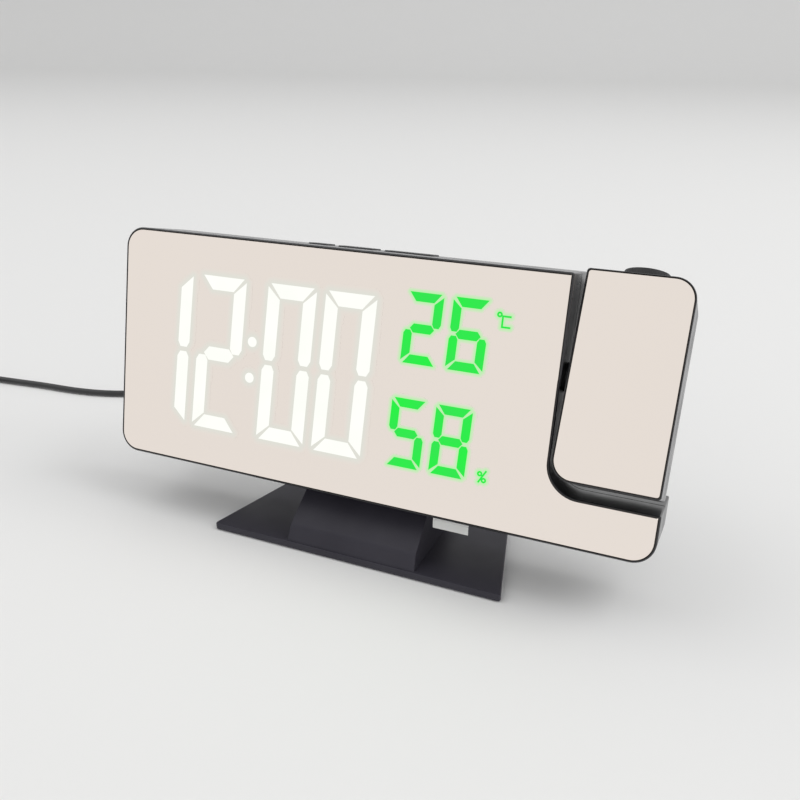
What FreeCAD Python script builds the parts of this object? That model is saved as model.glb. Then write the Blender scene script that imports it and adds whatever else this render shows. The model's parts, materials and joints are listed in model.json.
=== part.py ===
import FreeCAD, Part
import math
import os

# Projection alarm clock: a leaning mirror display on a flat foot, with a projector head that
# turns in a notch at its upper right. Millimetres. The clock stands on Z = 0, its foot centred
# on the origin, the display towards -Y. Case pieces are drawn upright, with the front of the
# mirror at y = 0 and the bottom of the case at z = 0, and are then leaned back onto the foot.

# Case
case_width = 190.0
case_height = 80.0
case_depth = 25.0
case_lean = 12.8            # degrees the display leans back
case_lift = 21.5            # height of the case's lower front edge above the table
case_setback = 5.1          # that edge behind the front edge of the foot
corner_radius = 7.0
tip_radius = 0.5
wall = 1.8
rear_round = 2.4
rim = 0.5
mirror_thickness = 1.5
mirror_gap = 0.1
mirror_bevel = 0.25
rim_bevel = 0.3
seam_bevel = 0.25           # groove where two shells meet

# Notch for the projector head
notch_floor = 15.4
notch_radius = 9.5

# Projector head
head_tilt = 16.6            # degrees it leans back from flush at rest
head_width = 31.2
head_depth = 22.4
head_gap = 1.65             # to the side of the notch
head_floor_gap = 2.3        # to the floor of the notch
head_inset = 0.3            # inside the case's right end and top
head_corner_radius = 6.5
head_tip_radius = 1.0
head_wall = 1.6
head_rim = 0.3
head_mirror_thickness = 1.2
head_rear_round = 3.0
head_screw_spread = 10.0
head_screw_rise = 7.0
head_screw_length = 13.0
saddle_drop = 15.0          # rib that holds the tube, below the tube's end
saddle_thickness = 2.0

# Pivot
pivot_radius = 4.5
pivot_bore = 2.6
pivot_flange = 2.0
pivot_boss = 2.2
washer_thickness = 0.8
washer_rim = 2.2
clip_thickness = 1.0
clip_groove = 0.8
clip_play = 0.4
clip_mouth = 5.2
shaft_tip = 1.4
running_clearance = 0.05

# Projector
tube_radius = 5.5
tube_bore = 4.5
tube_recess = 2.0           # end of the tube below the top of the head
tube_length = 23.0
projector_length = 38.0     # tube and lamp housing together
housing_radius = 7.5
housing_bore = 6.2
housing_shoulder = 2.2
ring_radius = 7.0
ring_height = 5.0
ring_lip = 1.2
ring_overlap = 0.1          # ring over the end of the tube
ring_rim = 0.6              # plain band above and below the ribs
ring_relief = 0.35
lens_radius = 4.0
lens_thickness = 1.6
lens_play = 0.05
head_hole_clearance = 0.3
lens_curve = 8.0            # radius of its domed face
lens_rise = 1.05
carrier_length = 8.0
carrier_wall = 1.2
carrier_recess = 0.2        # end of the lens carrier below the end of the tube
lens_seat_depth = 1.4
film_side = 8.0
film_thickness = 1.1
film_drop = 4.0             # underside of the film below the tube's shoulder
condenser_radius = 5.4
condenser_rim = 0.6
condenser_disc = 1.0
condenser_curve = 7.6
condenser_rise = 2.4
condenser_gap = 0.2         # between its top and the film
led_radius = 2.5
led_height = 5.6
led_flange = 0.4
led_flange_height = 1.0
projector_board_width = 22.0
projector_board_depth = 15.0
board_thickness = 1.6

# Display
display_side_margin = 8.0   # lit area inside the case's left end
display_end_margin = 13.85  # and short of the notch
display_bottom = 11.0
display_top_margin = 8.0
time_margin = 2.1           # first figure inside the lit area
time_foot = 2.9             # figures above the bottom of the lit area
time_head = 5.5             # figures below its top
time_stroke = 4.6
digit_gap = 3.3
colon_gap = 8.4
colon_room = 4.5            # from the dots to the figure after them
colon_offset = 6.1
dot_radius = 1.7
climate_room = 46.3         # width kept for the small figures
climate_height = 22.0
climate_width = 11.8
climate_stroke = 2.8
climate_pitch = 14.8
temperature_run = 35.9      # first figure to the end of the lit area
temperature_drop = 13.6     # middle of the figures below its top
humidity_run = 37.9
humidity_rise = 14.25       # middle of the figures above its bottom
digit_slant = 1.7           # degrees
bar_chamfer = 0.28          # share of the stroke
segment_gap = 0.95
small_segment_gap = 0.75
degree_mark = (-6.2, 7.4)   # unit marks from the lit area's end and the middle of their figures
letter_corners = ((-5.2, 3.8), (-2.9, 7.0))
percent_rings = ((-6.8, -8.05), (-5.4, -9.95))
percent_ends = ((-7.1, -10.85), (-4.8, -6.85))
ring_mark_radius = 0.85
mark_stroke = 0.55
mark_well_margin = 1.2
window_depth = 0.4
window_proud = 0.04
window_clearance = 0.02
reflector_depth = 6.0
reflector_gap = 0.1
display_clearance = 0.2
led_size = 1.6
led_rise = 0.7
post_tip = 1.8
post_margin = 2.6           # board posts outside the lit area
post_inset = 4.0
board_edge = 2.2            # board past its posts
board_hole_clearance = 0.2
board_screw_length = 4.5
board_screw_head = 1.6
board_screw_head_height = 1.2

# Boards, keys and fastenings inside
control_margin = 27.0       # control board inside the case's left end
control_end_margin = 39.85  # and short of the notch
control_bottom = 14.0
control_top_margin = 10.0
control_corner = 3.5        # its screws in from its corners
control_screw_length = 5.0
switch_side = 6.0
switch_height = 2.4
side_switch_height = 5.5
side_switch_reach = 4.5
key_travel = 0.6
key_slack = 0.1
key_gap = 0.25
key_flange = 1.0
key_flange_edge = 1.0
key_corner = 0.45           # share of a rear key's height
key_proud = 0.9
key_round = 0.4
nub_length = 1.0
nub_radius = 1.4
rear_key_width = 10.0
rear_key_height = 5.0
rear_key_pitch = 15.0
rear_key_inset = 16.0       # first key inside the control board's left end
rear_key_drop = 18.0        # row of keys below the top of the case
top_key_depth = 7.0
top_key_middle = 17.0       # depth of the top keys behind the mirror
top_key_corner = 1.3
top_key_round = 0.25
top_key_proud = 0.4
top_nub_radius = 1.2
top_key_slots = {           # middle from the control board's right end, and width
    "projection_key": (-49.3, 7.4),
    "light_key": (-35.2, 13.2),
    "snooze_key": (-16.5, 17.0),
}
rear_keys = ("mode_key", "set_key", "up_key", "down_key", "alarm_key")
chip_width = 16.0
chip_height = 10.0
chip_thickness = 1.6
chip_inset = 42.0           # inside the control board's left end
chip_rise = 14.0            # above its bottom
chip_legs = 7
chip_leg_pitch = 2.2
chip_leg_width = 0.8
chip_leg_reach = 1.4
chip_leg_thickness = 0.9
crystal_radius = 1.5
crystal_length = 7.5
crystal_gap = 6.0           # to the side of the chip
screw_radius = 1.2
screw_head_radius = 2.2
screw_head_height = 1.7
screw_length = 9.0
screw_slack = 0.15
boss_radius = 2.7
boss_bite = 0.5             # how far a boss sinks into the side wall
tower_radius = 3.6
tower_floor = 3.0
buzzer_radius = 6.0
buzzer_height = 4.5
buzzer_hole = 1.0
buzzer_margin = 16.85       # its middle short of the notch
buzzer_drop = 10.0          # below the row of keys
sound_hole_radius = 0.8
sound_hole_pitch = 3.2
vent_count = 6
vent_width = 1.4
vent_height = 9.0
vent_pitch = 3.4
vent_margin = 11.0          # first vent inside the case's left end
vent_z = 26.0
sensor_width = 5.0
sensor_height = 8.0
sensor_thickness = 3.4
sensor_gap = 0.6
sensor_slot_width = 3.6
sensor_slot_count = 4
sensor_slot_pitch = 2.0
sensor_slot_depth = 0.8

# Battery
cell_radius = 10.0
cell_thickness = 3.2
cell_round = 0.3
battery_margin = 25.85      # middle of the battery short of the notch
battery_depth = 17.5        # middle of the cell behind the mirror
battery_rise = 1.0          # cell above the inside of the door
battery_slack = 0.4
door_margin = 1.2
door_thickness = 1.6
door_rib_count = 4
door_rib_pitch = 4.0
door_rib_width = 1.0
door_rib_length = 4.0
door_rib_proud = 0.4
contact_thickness = 0.4
contact_width = 6.0
contact_drop = 6.0          # its end below the middle of the cell
tab_width = 11.8
tab_thickness = 0.3
tab_offset = 3.4            # pull tab to the left of the battery
tab_depth = 3.4
tab_inside = 6.0
tab_drop = 4.6
tab_bend = 1.9
tab_kick = 0.67

# Power lead
jack_inset = 8.0            # inside the control board's left end
jack_z = 24.0
jack_width = 9.0
jack_height = 4.2
jack_corner = 1.2
jack_wall = 0.6
jack_recess = 0.2
plug_tongue = 5.0
plug_tongue_corner = 0.6
plug_gap = 0.15
plug_width = 11.0
plug_height = 7.0
plug_length = 15.0
plug_corner = 2.4
plug_end_round = 0.8
relief_length = 11.0
relief_radius = 2.4
relief_wall = 0.25          # over the cord at the relief's thin end
cord_diameter = 3.0
cord_straight = 16.0
coil_middle = (-256.0, 20.0)
coil_turn_radius = 16.5
coil_layers = 2
coil_turns_across = 4
usb_width = 12.0
usb_thickness = 4.5
usb_shell_length = 12.0
usb_grip_width = 15.6
usb_grip_thickness = 7.6
usb_grip_length = 22.0
usb_grip_corner = 2.2
usb_end_round = 1.2
usb_shell_wall = 0.3
usb_shell_floor = 2.0
usb_tongue_top = 0.1        # below the middle of the plug

# Foot
foot_front_width = 105.2
foot_depth = 58.0
foot_side_angle = 13.5      # degrees each side narrows towards the back
foot_plate = 2.2
foot_front_corner = 1.0
foot_back_corner = 6.0
foot_rim_round = 0.5
foot_grip = 3.0             # foot material under each screw's head
foot_screw_length = 9.0
pad_height = 0.5
pad_recess = 0.6
pad_radius = 5.0
pad_clearance = 0.1
pad_round = 0.25
pad_margin = 3.0
pad_front_margin = 4.0
block_half_width = 23.4
block_draft = 3.5           # degrees its sides lean in
block_lip_run = 2.9
block_lip_rise = 7.75
block_lip_round = 2.5
block_reach = 12.3          # along the case's underside from its front edge to the block
block_tail = 44.0
block_heel = 4.0            # slope at its tail
block_wall = 2.2
block_side_wall = 4.2
post_radius = 4.0
post_spread = 15.0
post_depth = 18.0
post_gap = 0.01             # posts just clear of the case they hold
past = 1.0                  # how far a cutting shape runs past the face it cuts

Vector = FreeCAD.Vector
split = head_depth / 2      # the case and the head both part through the pivot
case_left = -case_width / 2
case_right = case_width / 2
rear_inside = case_depth - wall
panel_back = mirror_thickness + wall
notch_x = case_right - head_inset - head_width - head_gap
head_height = case_height - head_inset - notch_floor - head_floor_gap
pivot_x = notch_x + head_gap + head_width / 2
pivot_height = notch_floor + head_floor_gap + head_height / 2
head_left = -head_width / 2
rest_y = -foot_depth / 2 + case_setback
display_left = case_left + display_side_margin
display_right = notch_x - display_end_margin
display_top = case_height - display_top_margin
time_start = display_left + time_margin
time_span = display_right - climate_room - time_start
time_width = (time_span - 2 * digit_gap - colon_gap) / 4
time_height = display_top - time_head - display_bottom - time_foot
time_middle = display_bottom + time_foot + time_height / 2
temperature_middle = display_top - temperature_drop
humidity_middle = display_bottom + humidity_rise
control_left = case_left + control_margin
control_right = notch_x - control_end_margin
control_top = case_height - control_top_margin
rear_key_first = control_left + rear_key_inset
rear_key_row = case_height - rear_key_drop
buzzer_x = notch_x - buzzer_margin
buzzer_z = rear_key_row - buzzer_drop
vent_x = case_left + vent_margin
battery_x = notch_x - battery_margin
tab_x = battery_x - tab_offset
jack_x = control_left + jack_inset


def box(x_range, y_range, z_range):
    size = [high - low for low, high in (x_range, y_range, z_range)]
    return Part.makeBox(size[0], size[1], size[2], Vector(x_range[0], y_range[0], z_range[0]))


def rod(radius, start, direction, length):
    return Part.makeCylinder(radius, length, Vector(*start), Vector(*direction))


def pipe(outer, inner, start, direction, length):
    return rod(outer, start, direction, length).cut(rod(inner, start, direction, length))


def rounded_wire(corners, place):
    """Closed wire through (u, v, radius) corners, put in space by place(u, v)."""
    points = [place(u, v) for u, v, radius in corners]
    arcs = []
    for index, here in enumerate(points):
        radius = corners[index][2]
        back = (points[index - 1] - here).normalize()
        ahead = (points[(index + 1) % len(points)] - here).normalize()
        half_angle = back.getAngle(ahead) / 2
        reach = radius / math.tan(half_angle)
        towards = (back + ahead).normalize()
        middle = here + towards * (radius / math.sin(half_angle) - radius)
        arcs.append((here + back * reach, middle, here + ahead * reach))
    edges = []
    for index, (start, middle, end) in enumerate(arcs):
        edges.append(Part.Arc(start, middle, end).toShape())
        following = arcs[(index + 1) % len(arcs)][0]
        if (following - end).Length > 1e-6:
            edges.append(Part.LineSegment(end, following).toShape())
    return Part.Wire(edges)


def front_slab(corners, y_start, y_end):
    """Solid between two depths from an outline of (x, z, radius) corners."""
    wire = rounded_wire(corners, lambda x, z: Vector(x, y_start, z))
    return Part.Face(wire).extrude(Vector(0, y_end - y_start, 0))


def flat_slab(corners, z_start, z_end):
    """Solid between two heights from an outline of (x, y, radius) corners."""
    wire = rounded_wire(corners, lambda x, y: Vector(x, y, z_start))
    return Part.Face(wire).extrude(Vector(0, 0, z_end - z_start))


def side_slab(corners, x_start, x_end):
    """Solid between two x planes from an outline of (y, z, radius) corners."""
    wire = rounded_wire(corners, lambda y, z: Vector(x_start, y, z))
    return Part.Face(wire).extrude(Vector(x_end - x_start, 0, 0))


def polygon_slab(points, y_start, y_end):
    corners = [Vector(x, y_start, z) for x, z in points]
    wire = Part.makePolygon(corners + corners[:1])
    return Part.Face(wire).extrude(Vector(0, y_end - y_start, 0))


def centred(x, z, width, height, radius):
    return [
        (x - width / 2, z - height / 2, radius),
        (x + width / 2, z - height / 2, radius),
        (x + width / 2, z + height / 2, radius),
        (x - width / 2, z + height / 2, radius),
    ]


def join(shapes):
    """One solid where the shapes meet."""
    whole = shapes[0].fuse(list(shapes[1:]))
    return whole.removeSplitter()


def remove(shape, tools):
    return shape.cut(list(tools))


def group(shapes):
    return Part.makeCompound(list(shapes))


def case_outline(inset):
    """Outline of the case with its notch, drawn in by inset."""
    left = case_left + inset
    right = case_right - inset
    top = case_height - inset
    outer = corner_radius - inset
    return [
        (left, inset, outer),
        (right, inset, outer),
        (right, notch_floor - inset, tip_radius),
        (notch_x - inset, notch_floor - inset, notch_radius + inset),
        (notch_x - inset, top, tip_radius),
        (left, top, outer),
    ]


def flat_edges(shape, y):
    """The edges of a shape that lie in the plane y."""
    return [edge for edge in shape.Edges if abs(edge.BoundBox.YMin - y) + abs(edge.BoundBox.YMax - y) < 1e-4]


def head_outline(inset):
    """Outline of the head, drawn in by inset, about its pivot."""
    side = head_width / 2 - inset
    end = head_height / 2 - inset
    return [
        (-side, -end, head_corner_radius - inset),
        (side, -end, head_tip_radius),
        (side, end, head_corner_radius - inset),
        (-side, end, head_tip_radius),
    ]


def lean(shape, degrees, pivot_y, pivot_z):
    """Lean a shape back about the X direction."""
    moved = shape.copy()
    moved.rotate(Vector(0, pivot_y, pivot_z), Vector(1, 0, 0), -degrees)
    return moved


def on_foot(shape):
    """From the upright case to its place on the foot."""
    placed = lean(shape, case_lean, 0, 0)
    placed.translate(Vector(0, rest_y, case_lift))
    return placed


def in_notch(shape):
    """From the head's own pivot to its place in the case, at its resting tilt."""
    placed = lean(shape, head_tilt, 0, 0)
    placed.translate(Vector(pivot_x, split, pivot_height))
    return on_foot(placed)


# Digits


def digit_segments(width, height, stroke, gap):
    """The seven bars of a digit about its middle, each with bevelled ends."""
    w = width / 2
    h = height / 2
    g = gap / math.sqrt(2)
    s = stroke
    tip = s / 2 - g / 2
    middle_left = -w + s / 2 + g
    blunt = s * bar_chamfer
    top = [(-w + g * 1.4, h), (w - g * 1.4, h), (w - s - g * 0.3, h - s), (-w + s + g * 0.3, h - s)]
    upper_right = [
        (w, h - g * 1.6),
        (w, g * 1.2 + s / 2 - blunt * 0.4),
        (w - s / 2 + blunt, g * 1.2),
        (w - s / 2 - blunt, g * 1.2),
        (w - s, g * 1.2 + s / 2 - blunt * 0.4),
        (w - s, h - s - g * 0.9),
    ]
    middle = [
        (middle_left, 0),
        (middle_left + tip, s / 2),
        (-middle_left - tip, s / 2),
        (-middle_left, 0),
        (-middle_left - tip, -s / 2),
        (middle_left + tip, -s / 2),
    ]
    upper_left = [(-x, z) for x, z in upper_right]
    return {
        "top": top,
        "upper_right": upper_right,
        "lower_right": [(x, -z) for x, z in upper_right],
        "bottom": [(x, -z) for x, z in top],
        "lower_left": [(x, -z) for x, z in upper_left],
        "upper_left": upper_left,
        "middle": middle,
    }


lit_bars = {
    "0": ("top", "upper_right", "lower_right", "bottom", "lower_left", "upper_left"),
    "1": ("upper_right", "lower_right"),
    "2": ("top", "upper_right", "middle", "lower_left", "bottom"),
    "5": ("top", "upper_left", "middle", "lower_right", "bottom"),
    "6": ("top", "upper_left", "middle", "lower_left", "lower_right", "bottom"),
    "8": ("top", "upper_right", "lower_right", "bottom", "lower_left", "upper_left", "middle"),
}


def slanted(points, x, z):
    """Move a bar to its digit's middle and lean it with the digit."""
    slope = math.tan(math.radians(digit_slant))
    return [(x + px + pz * slope, z + pz) for px, pz in points]


def time_lefts():
    """Left side of each figure of the time."""
    second = time_start + time_width + digit_gap
    third = second + time_width + colon_gap
    return (time_start, second, third, third + time_width + digit_gap)


def digit_places():
    """Every digit cell: its figure, its bars and its middle."""
    time_bars = digit_segments(time_width, time_height, time_stroke, segment_gap)
    small_bars = digit_segments(climate_width, climate_height, climate_stroke, small_segment_gap)
    cells = []
    for figure, left in zip("1200", time_lefts()):
        cells.append((figure, time_bars, left + time_width / 2, time_middle))
    for figures, run, middle in (
        ("26", temperature_run, temperature_middle),
        ("58", humidity_run, humidity_middle),
    ):
        for index, figure in enumerate(figures):
            x = display_right - run + climate_width / 2 + index * climate_pitch
            cells.append((figure, small_bars, x, middle))
    return cells


def grown(points, amount):
    """A convex bar drawn out by amount on every side."""
    wire = Part.makePolygon([Vector(x, z, 0) for x, z in points + points[:1]])
    wider = wire.makeOffset2D(amount, 2)
    return [(vertex.X, vertex.Y) for vertex in wider.OrderedVertexes]


def lit_windows(cells, amount, y_start, y_end):
    solids = []
    for figure, bars, x, z in cells:
        for name in lit_bars[figure]:
            points = slanted(bars[name], x, z)
            if amount:
                points = grown(points, amount)
            solids.append(polygon_slab(points, y_start, y_end))
    return solids


def colon_dots(amount, y_start, y_end):
    slope = math.tan(math.radians(digit_slant))
    middle = time_lefts()[2] - colon_room
    solids = []
    for step in (-1, 1):
        z = time_middle + step * colon_offset
        x = middle + step * colon_offset * slope
        start = (x, y_start, z)
        solids.append(rod(dot_radius + amount, start, (0, 1, 0), y_end - y_start))
    return solids


def mark_place(offset, middle):
    return (display_right + offset[0], middle + offset[1])


def ring_mark(place, amount, y_start, length):
    start = (place[0], y_start, place[1])
    inner = ring_mark_radius - mark_stroke - amount
    return pipe(ring_mark_radius + amount, inner, start, (0, 1, 0), length)


def unit_marks(amount, y_start, y_end):
    """The small degree ring and C, and the small percent sign."""
    length = y_end - y_start
    half = mark_stroke / 2 + amount
    (left, low), (right, high) = [mark_place(corner, temperature_middle) for corner in letter_corners]
    depth = (y_start, y_end)
    letter = join([
        box((left - half, right + half), depth, (high - half, high + half)),
        box((left - half, left + half), depth, (low - half, high + half)),
        box((left - half, right + half), depth, (low - half, low + half)),
    ])
    (x0, z0), (x1, z1) = [mark_place(end, humidity_middle) for end in percent_ends]
    run = Vector(x1 - x0, 0, z1 - z0)
    side = Vector(run.z, 0, -run.x).normalize() * half
    ends = [(x0 + side.x, z0 + side.z), (x0 - side.x, z0 - side.z)]
    ends += [(x1 - side.x, z1 - side.z), (x1 + side.x, z1 + side.z)]
    rings = [mark_place(offset, humidity_middle) for offset in percent_rings]
    percent = join(
        [polygon_slab(ends, y_start, y_end)]
        + [ring_mark(place, amount, y_start, length) for place in rings]
    )
    degree = mark_place(degree_mark, temperature_middle)
    return [ring_mark(degree, amount, y_start, length), letter, percent]


# Case pieces, upright


inner_boss = boss_radius + wall - boss_bite
screw_places = (
    (case_left + inner_boss, corner_radius),
    (case_left + inner_boss, case_height - corner_radius),
    (notch_x - inner_boss, case_height - corner_radius),
    (case_right - inner_boss, notch_floor / 2),
)
board_posts = (
    (display_left + post_inset, display_bottom - post_margin),
    (display_right - post_inset / 2, display_bottom - post_margin),
    (display_left + post_inset, display_top + post_margin),
    (display_right - post_inset / 2, display_top + post_margin),
)
reflector_front = mirror_thickness + reflector_gap
board_front = reflector_front + reflector_depth + reflector_gap
board_back = board_front + board_thickness
door_width = 2 * (cell_radius + battery_slack + door_margin)
door_depth = cell_thickness + 2 * (contact_thickness + battery_slack + door_margin)
cell_middle = door_thickness + battery_rise + cell_radius
key_back = rear_inside - key_slack - key_flange
switch_top = key_back - nub_length - key_travel - key_slack
control_back = switch_top - switch_height
control_front = control_back - board_thickness
top_keys = {name: (control_right + offset, width) for name, (offset, width) in top_key_slots.items()}
control_posts = (
    (control_left + control_corner, control_bottom + control_corner),
    (control_right - control_corner, control_bottom + control_corner),
)


def screw(place, outward, length, radius, head_radius, head_height):
    """Cross-recess screw with its head's seat at place."""
    body = join([
        Part.makeCylinder(head_radius, head_height),
        Part.makeCylinder(radius, length, Vector(0, 0, -length)),
    ])
    rim_edges = [edge for edge in body.Edges if edge.BoundBox.ZMin > head_height * 0.9]
    body = body.makeChamfer(head_height * 0.3, rim_edges)
    arm = head_radius * 0.62
    slot = head_radius * 0.14
    cross = [
        box((-arm, arm), (-slot, slot), (head_height * 0.45, head_height + past)),
        box((-slot, slot), (-arm, arm), (head_height * 0.45, head_height + past)),
    ]
    body = remove(body, cross)
    turn = FreeCAD.Rotation(Vector(0, 0, 1), Vector(*outward))
    body.Placement = FreeCAD.Placement(Vector(*place), turn)
    return body


def front_mirror():
    plate = front_slab(case_outline(rim + mirror_gap), 0, mirror_thickness)
    plate = plate.makeChamfer(mirror_bevel, flat_edges(plate, 0))
    pockets = lit_windows(digit_places(), window_clearance, -past, window_depth)
    pockets += colon_dots(window_clearance, -past, window_depth)
    pockets += unit_marks(window_clearance, -past, window_depth)
    return remove(plate, pockets)


def time_windows():
    cells = digit_places()[:4]
    bars = lit_windows(cells, 0, -window_proud, window_depth)
    return group(bars + colon_dots(0, -window_proud, window_depth))


def climate_windows():
    cells = digit_places()[4:]
    bars = lit_windows(cells, 0, -window_proud, window_depth)
    return group(bars + unit_marks(0, -window_proud, window_depth))


def pivot_journal():
    start = (notch_x - wall - pivot_boss, split, pivot_height)
    return rod(pivot_radius + wall, start, (1, 0, 0), pivot_boss + wall / 2)


def pivot_hole():
    start = (notch_x - wall - pivot_boss - past, split, pivot_height)
    return rod(pivot_radius + running_clearance, start, (1, 0, 0), wall + pivot_boss + 2 * past)


def front_shell():
    shell = front_slab(case_outline(0), 0, split)
    shell = shell.makeChamfer(rim_bevel, flat_edges(shell, 0))
    shell = shell.makeChamfer(seam_bevel, flat_edges(shell, split))
    shell = remove(shell, [
        front_slab(case_outline(wall), panel_back, split),
        front_slab(case_outline(rim), 0, mirror_thickness),
        box((display_left, display_right), (0, panel_back), (display_bottom, display_top)),
    ])
    posts = [rod(boss_radius, (x, panel_back, z), (0, 1, 0), split - panel_back) for x, z in screw_places]
    posts += [
        rod(post_tip, (x, panel_back, z), (0, 1, 0), board_front - panel_back) for x, z in board_posts
    ]
    behind = box((notch_x - head_width, notch_x), (split, split + case_depth), (0, case_height))
    shell = join([shell, pivot_journal().cut(behind)] + posts)
    half_tab = tab_width / 2 + display_clearance
    case_thread = screw_radius + running_clearance
    board_thread = post_tip / 2 + running_clearance
    holes = [rod(case_thread, (x, panel_back, z), (0, 1, 0), split) for x, z in screw_places]
    holes += [rod(board_thread, (x, panel_back, z), (0, 1, 0), split) for x, z in board_posts]
    holes.append(pivot_hole())
    tab_slot = (tab_depth - display_clearance, tab_depth + tab_thickness + display_clearance)
    holes.append(box((tab_x - half_tab, tab_x + half_tab), tab_slot, (-past, wall + past)))
    return remove(shell, holes)


def battery_walls():
    """Open-bottomed box inside the rear cover that holds the coin cell between its contacts."""
    half_width = cell_radius + battery_slack
    half_depth = cell_thickness / 2 + contact_thickness + battery_slack
    top = cell_middle + half_width
    thin = door_margin
    outer = box(
        (battery_x - half_width - thin, battery_x + half_width + thin),
        (battery_depth - half_depth - thin, battery_depth + half_depth + thin),
        (door_thickness, top + thin),
    )
    inner = box(
        (battery_x - half_width, battery_x + half_width),
        (battery_depth - half_depth, battery_depth + half_depth),
        (0, top),
    )
    return outer.cut(inner), inner


def sound_holes():
    places = [(0, 0)]
    for index in range(6):
        angle = index * math.pi / 3
        places.append((sound_hole_pitch * math.cos(angle), sound_hole_pitch * math.sin(angle)))
    return [
        rod(sound_hole_radius, (buzzer_x + x, rear_inside - past, buzzer_z + z), (0, 1, 0), wall + 2 * past)
        for x, z in places
    ]


def sensor_vents():
    vents = []
    for index in range(vent_count):
        x = vent_x + index * vent_pitch
        outline = centred(x, vent_z, vent_width, vent_height, vent_width * 0.45)
        vents.append(front_slab(outline, rear_inside - past, case_depth + past))
    return vents


def key_openings():
    openings = []
    for x in rear_key_places():
        wide = rear_key_width + 2 * key_gap
        tall = rear_key_height + 2 * key_gap
        outline = centred(x, rear_key_row, wide, tall, tall * key_corner)
        openings.append(front_slab(outline, rear_inside - past, case_depth + past))
    for x, width in top_keys.values():
        wide = width + 2 * key_gap
        deep = top_key_depth + 2 * key_gap
        outline = centred(x, top_key_middle, wide, deep, top_key_corner + key_gap)
        openings.append(flat_slab(outline, case_height - wall - past, case_height + past))
    return openings


def rear_key_places():
    return [rear_key_first + index * rear_key_pitch for index in range(len(rear_keys))]


def stand_screw_places():
    return [(-post_spread, post_depth), (post_spread, post_depth)]


def rear_cover():
    cover = front_slab(case_outline(0), split, case_depth)
    cover = cover.makeFillet(rear_round, flat_edges(cover, case_depth))
    cover = cover.makeChamfer(seam_bevel, flat_edges(cover, split))
    cover = cover.cut(front_slab(case_outline(wall), split, rear_inside))
    battery_box, battery_space = battery_walls()
    parts = [cover, battery_box]
    tower = rear_inside + wall / 3 - split
    post = rear_inside + wall / 3 - control_back
    parts += [rod(tower_radius, (x, split, z), (0, 1, 0), tower) for x, z in screw_places]
    parts += [rod(boss_radius, (x, control_back, z), (0, 1, 0), post) for x, z in control_posts]
    parts += [rod(boss_radius, (x, y, wall / 2), (0, 0, 1), screw_length) for x, y in stand_screw_places()]
    ahead = box((notch_x - head_width, notch_x), (0, split), (0, case_height))
    parts.append(pivot_journal().cut(ahead))
    inside = front_slab(case_outline(wall / 2), split, case_depth + past)
    cover = join(parts).common(inside.fuse(cover))
    head_hole = screw_head_radius + screw_slack
    shank_hole = screw_radius + screw_slack
    thread_hole = screw_radius + running_clearance
    seat = split + tower_floor
    cuts = [rod(head_hole, (x, seat, z), (0, 1, 0), case_depth) for x, z in screw_places]
    cuts += [rod(shank_hole, (x, split - past, z), (0, 1, 0), case_depth) for x, z in screw_places]
    cuts += [
        rod(thread_hole, (x, control_back - past, z), (0, 1, 0), control_screw_length + past)
        for x, z in control_posts
    ]
    cuts += [rod(thread_hole, (x, y, -past), (0, 0, 1), screw_length) for x, y in stand_screw_places()]
    cuts += sound_holes() + sensor_vents() + key_openings()
    cuts.append(pivot_hole())
    cuts.append(battery_space)
    cuts.append(box(door_range_x(key_gap), door_range_y(key_gap), (-past, door_thickness)))
    wide = jack_width + 2 * key_gap
    tall = jack_height + 2 * key_gap
    jack_opening = centred(jack_x, jack_z, wide, tall, jack_corner + key_gap)
    cuts.append(front_slab(jack_opening, rear_inside - past, case_depth + past))
    return remove(cover, cuts)


def door_range_x(extra):
    half = door_width / 2 + extra
    return (battery_x - half, battery_x + half)


def door_range_y(extra):
    half = door_depth / 2 + extra
    return (battery_depth - half, battery_depth + half)


def battery_door():
    door = box(door_range_x(0), door_range_y(0), (0, door_thickness))
    first = battery_x - (door_rib_count - 1) * door_rib_pitch / 2 - door_rib_width / 2
    length = (battery_depth - door_rib_length / 2, battery_depth + door_rib_length / 2)
    ribs = []
    for index in range(door_rib_count):
        x = first + index * door_rib_pitch
        ribs.append(box((x, x + door_rib_width), length, (-door_rib_proud, door_thickness / 2)))
    return join([door] + ribs)


def coin_cell():
    start = (battery_x, battery_depth - cell_thickness / 2, cell_middle)
    can = rod(cell_radius, start, (0, 1, 0), cell_thickness)
    rims = [edge for edge in can.Edges if edge.BoundBox.YLength < 1e-4]
    return can.makeFillet(cell_round, rims)


def battery_contacts():
    springs = []
    offset = cell_thickness / 2 + contact_thickness / 2 + running_clearance
    across = (battery_x - contact_width / 2, battery_x + contact_width / 2)
    for side in (-1, 1):
        y = battery_depth + side * offset
        strip = (y - contact_thickness / 2, y + contact_thickness / 2)
        springs.append(box(across, strip, (cell_middle - contact_drop, cell_middle + cell_radius)))
    return group(springs)


def pull_tab():
    """Clear strip that leaves the case through a slot and kinks below it."""
    t = tab_thickness
    y = tab_depth
    outline = [
        (y, tab_inside),
        (y + t, tab_inside),
        (y + t, -tab_bend),
        (y + t + tab_kick, -tab_drop),
        (y + tab_kick, -tab_drop),
        (y, -tab_bend),
    ]
    corners = [Vector(tab_x - tab_width / 2, depth, z) for depth, z in outline]
    face = Part.Face(Part.makePolygon(corners + corners[:1]))
    return face.extrude(Vector(tab_width, 0, 0))


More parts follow.
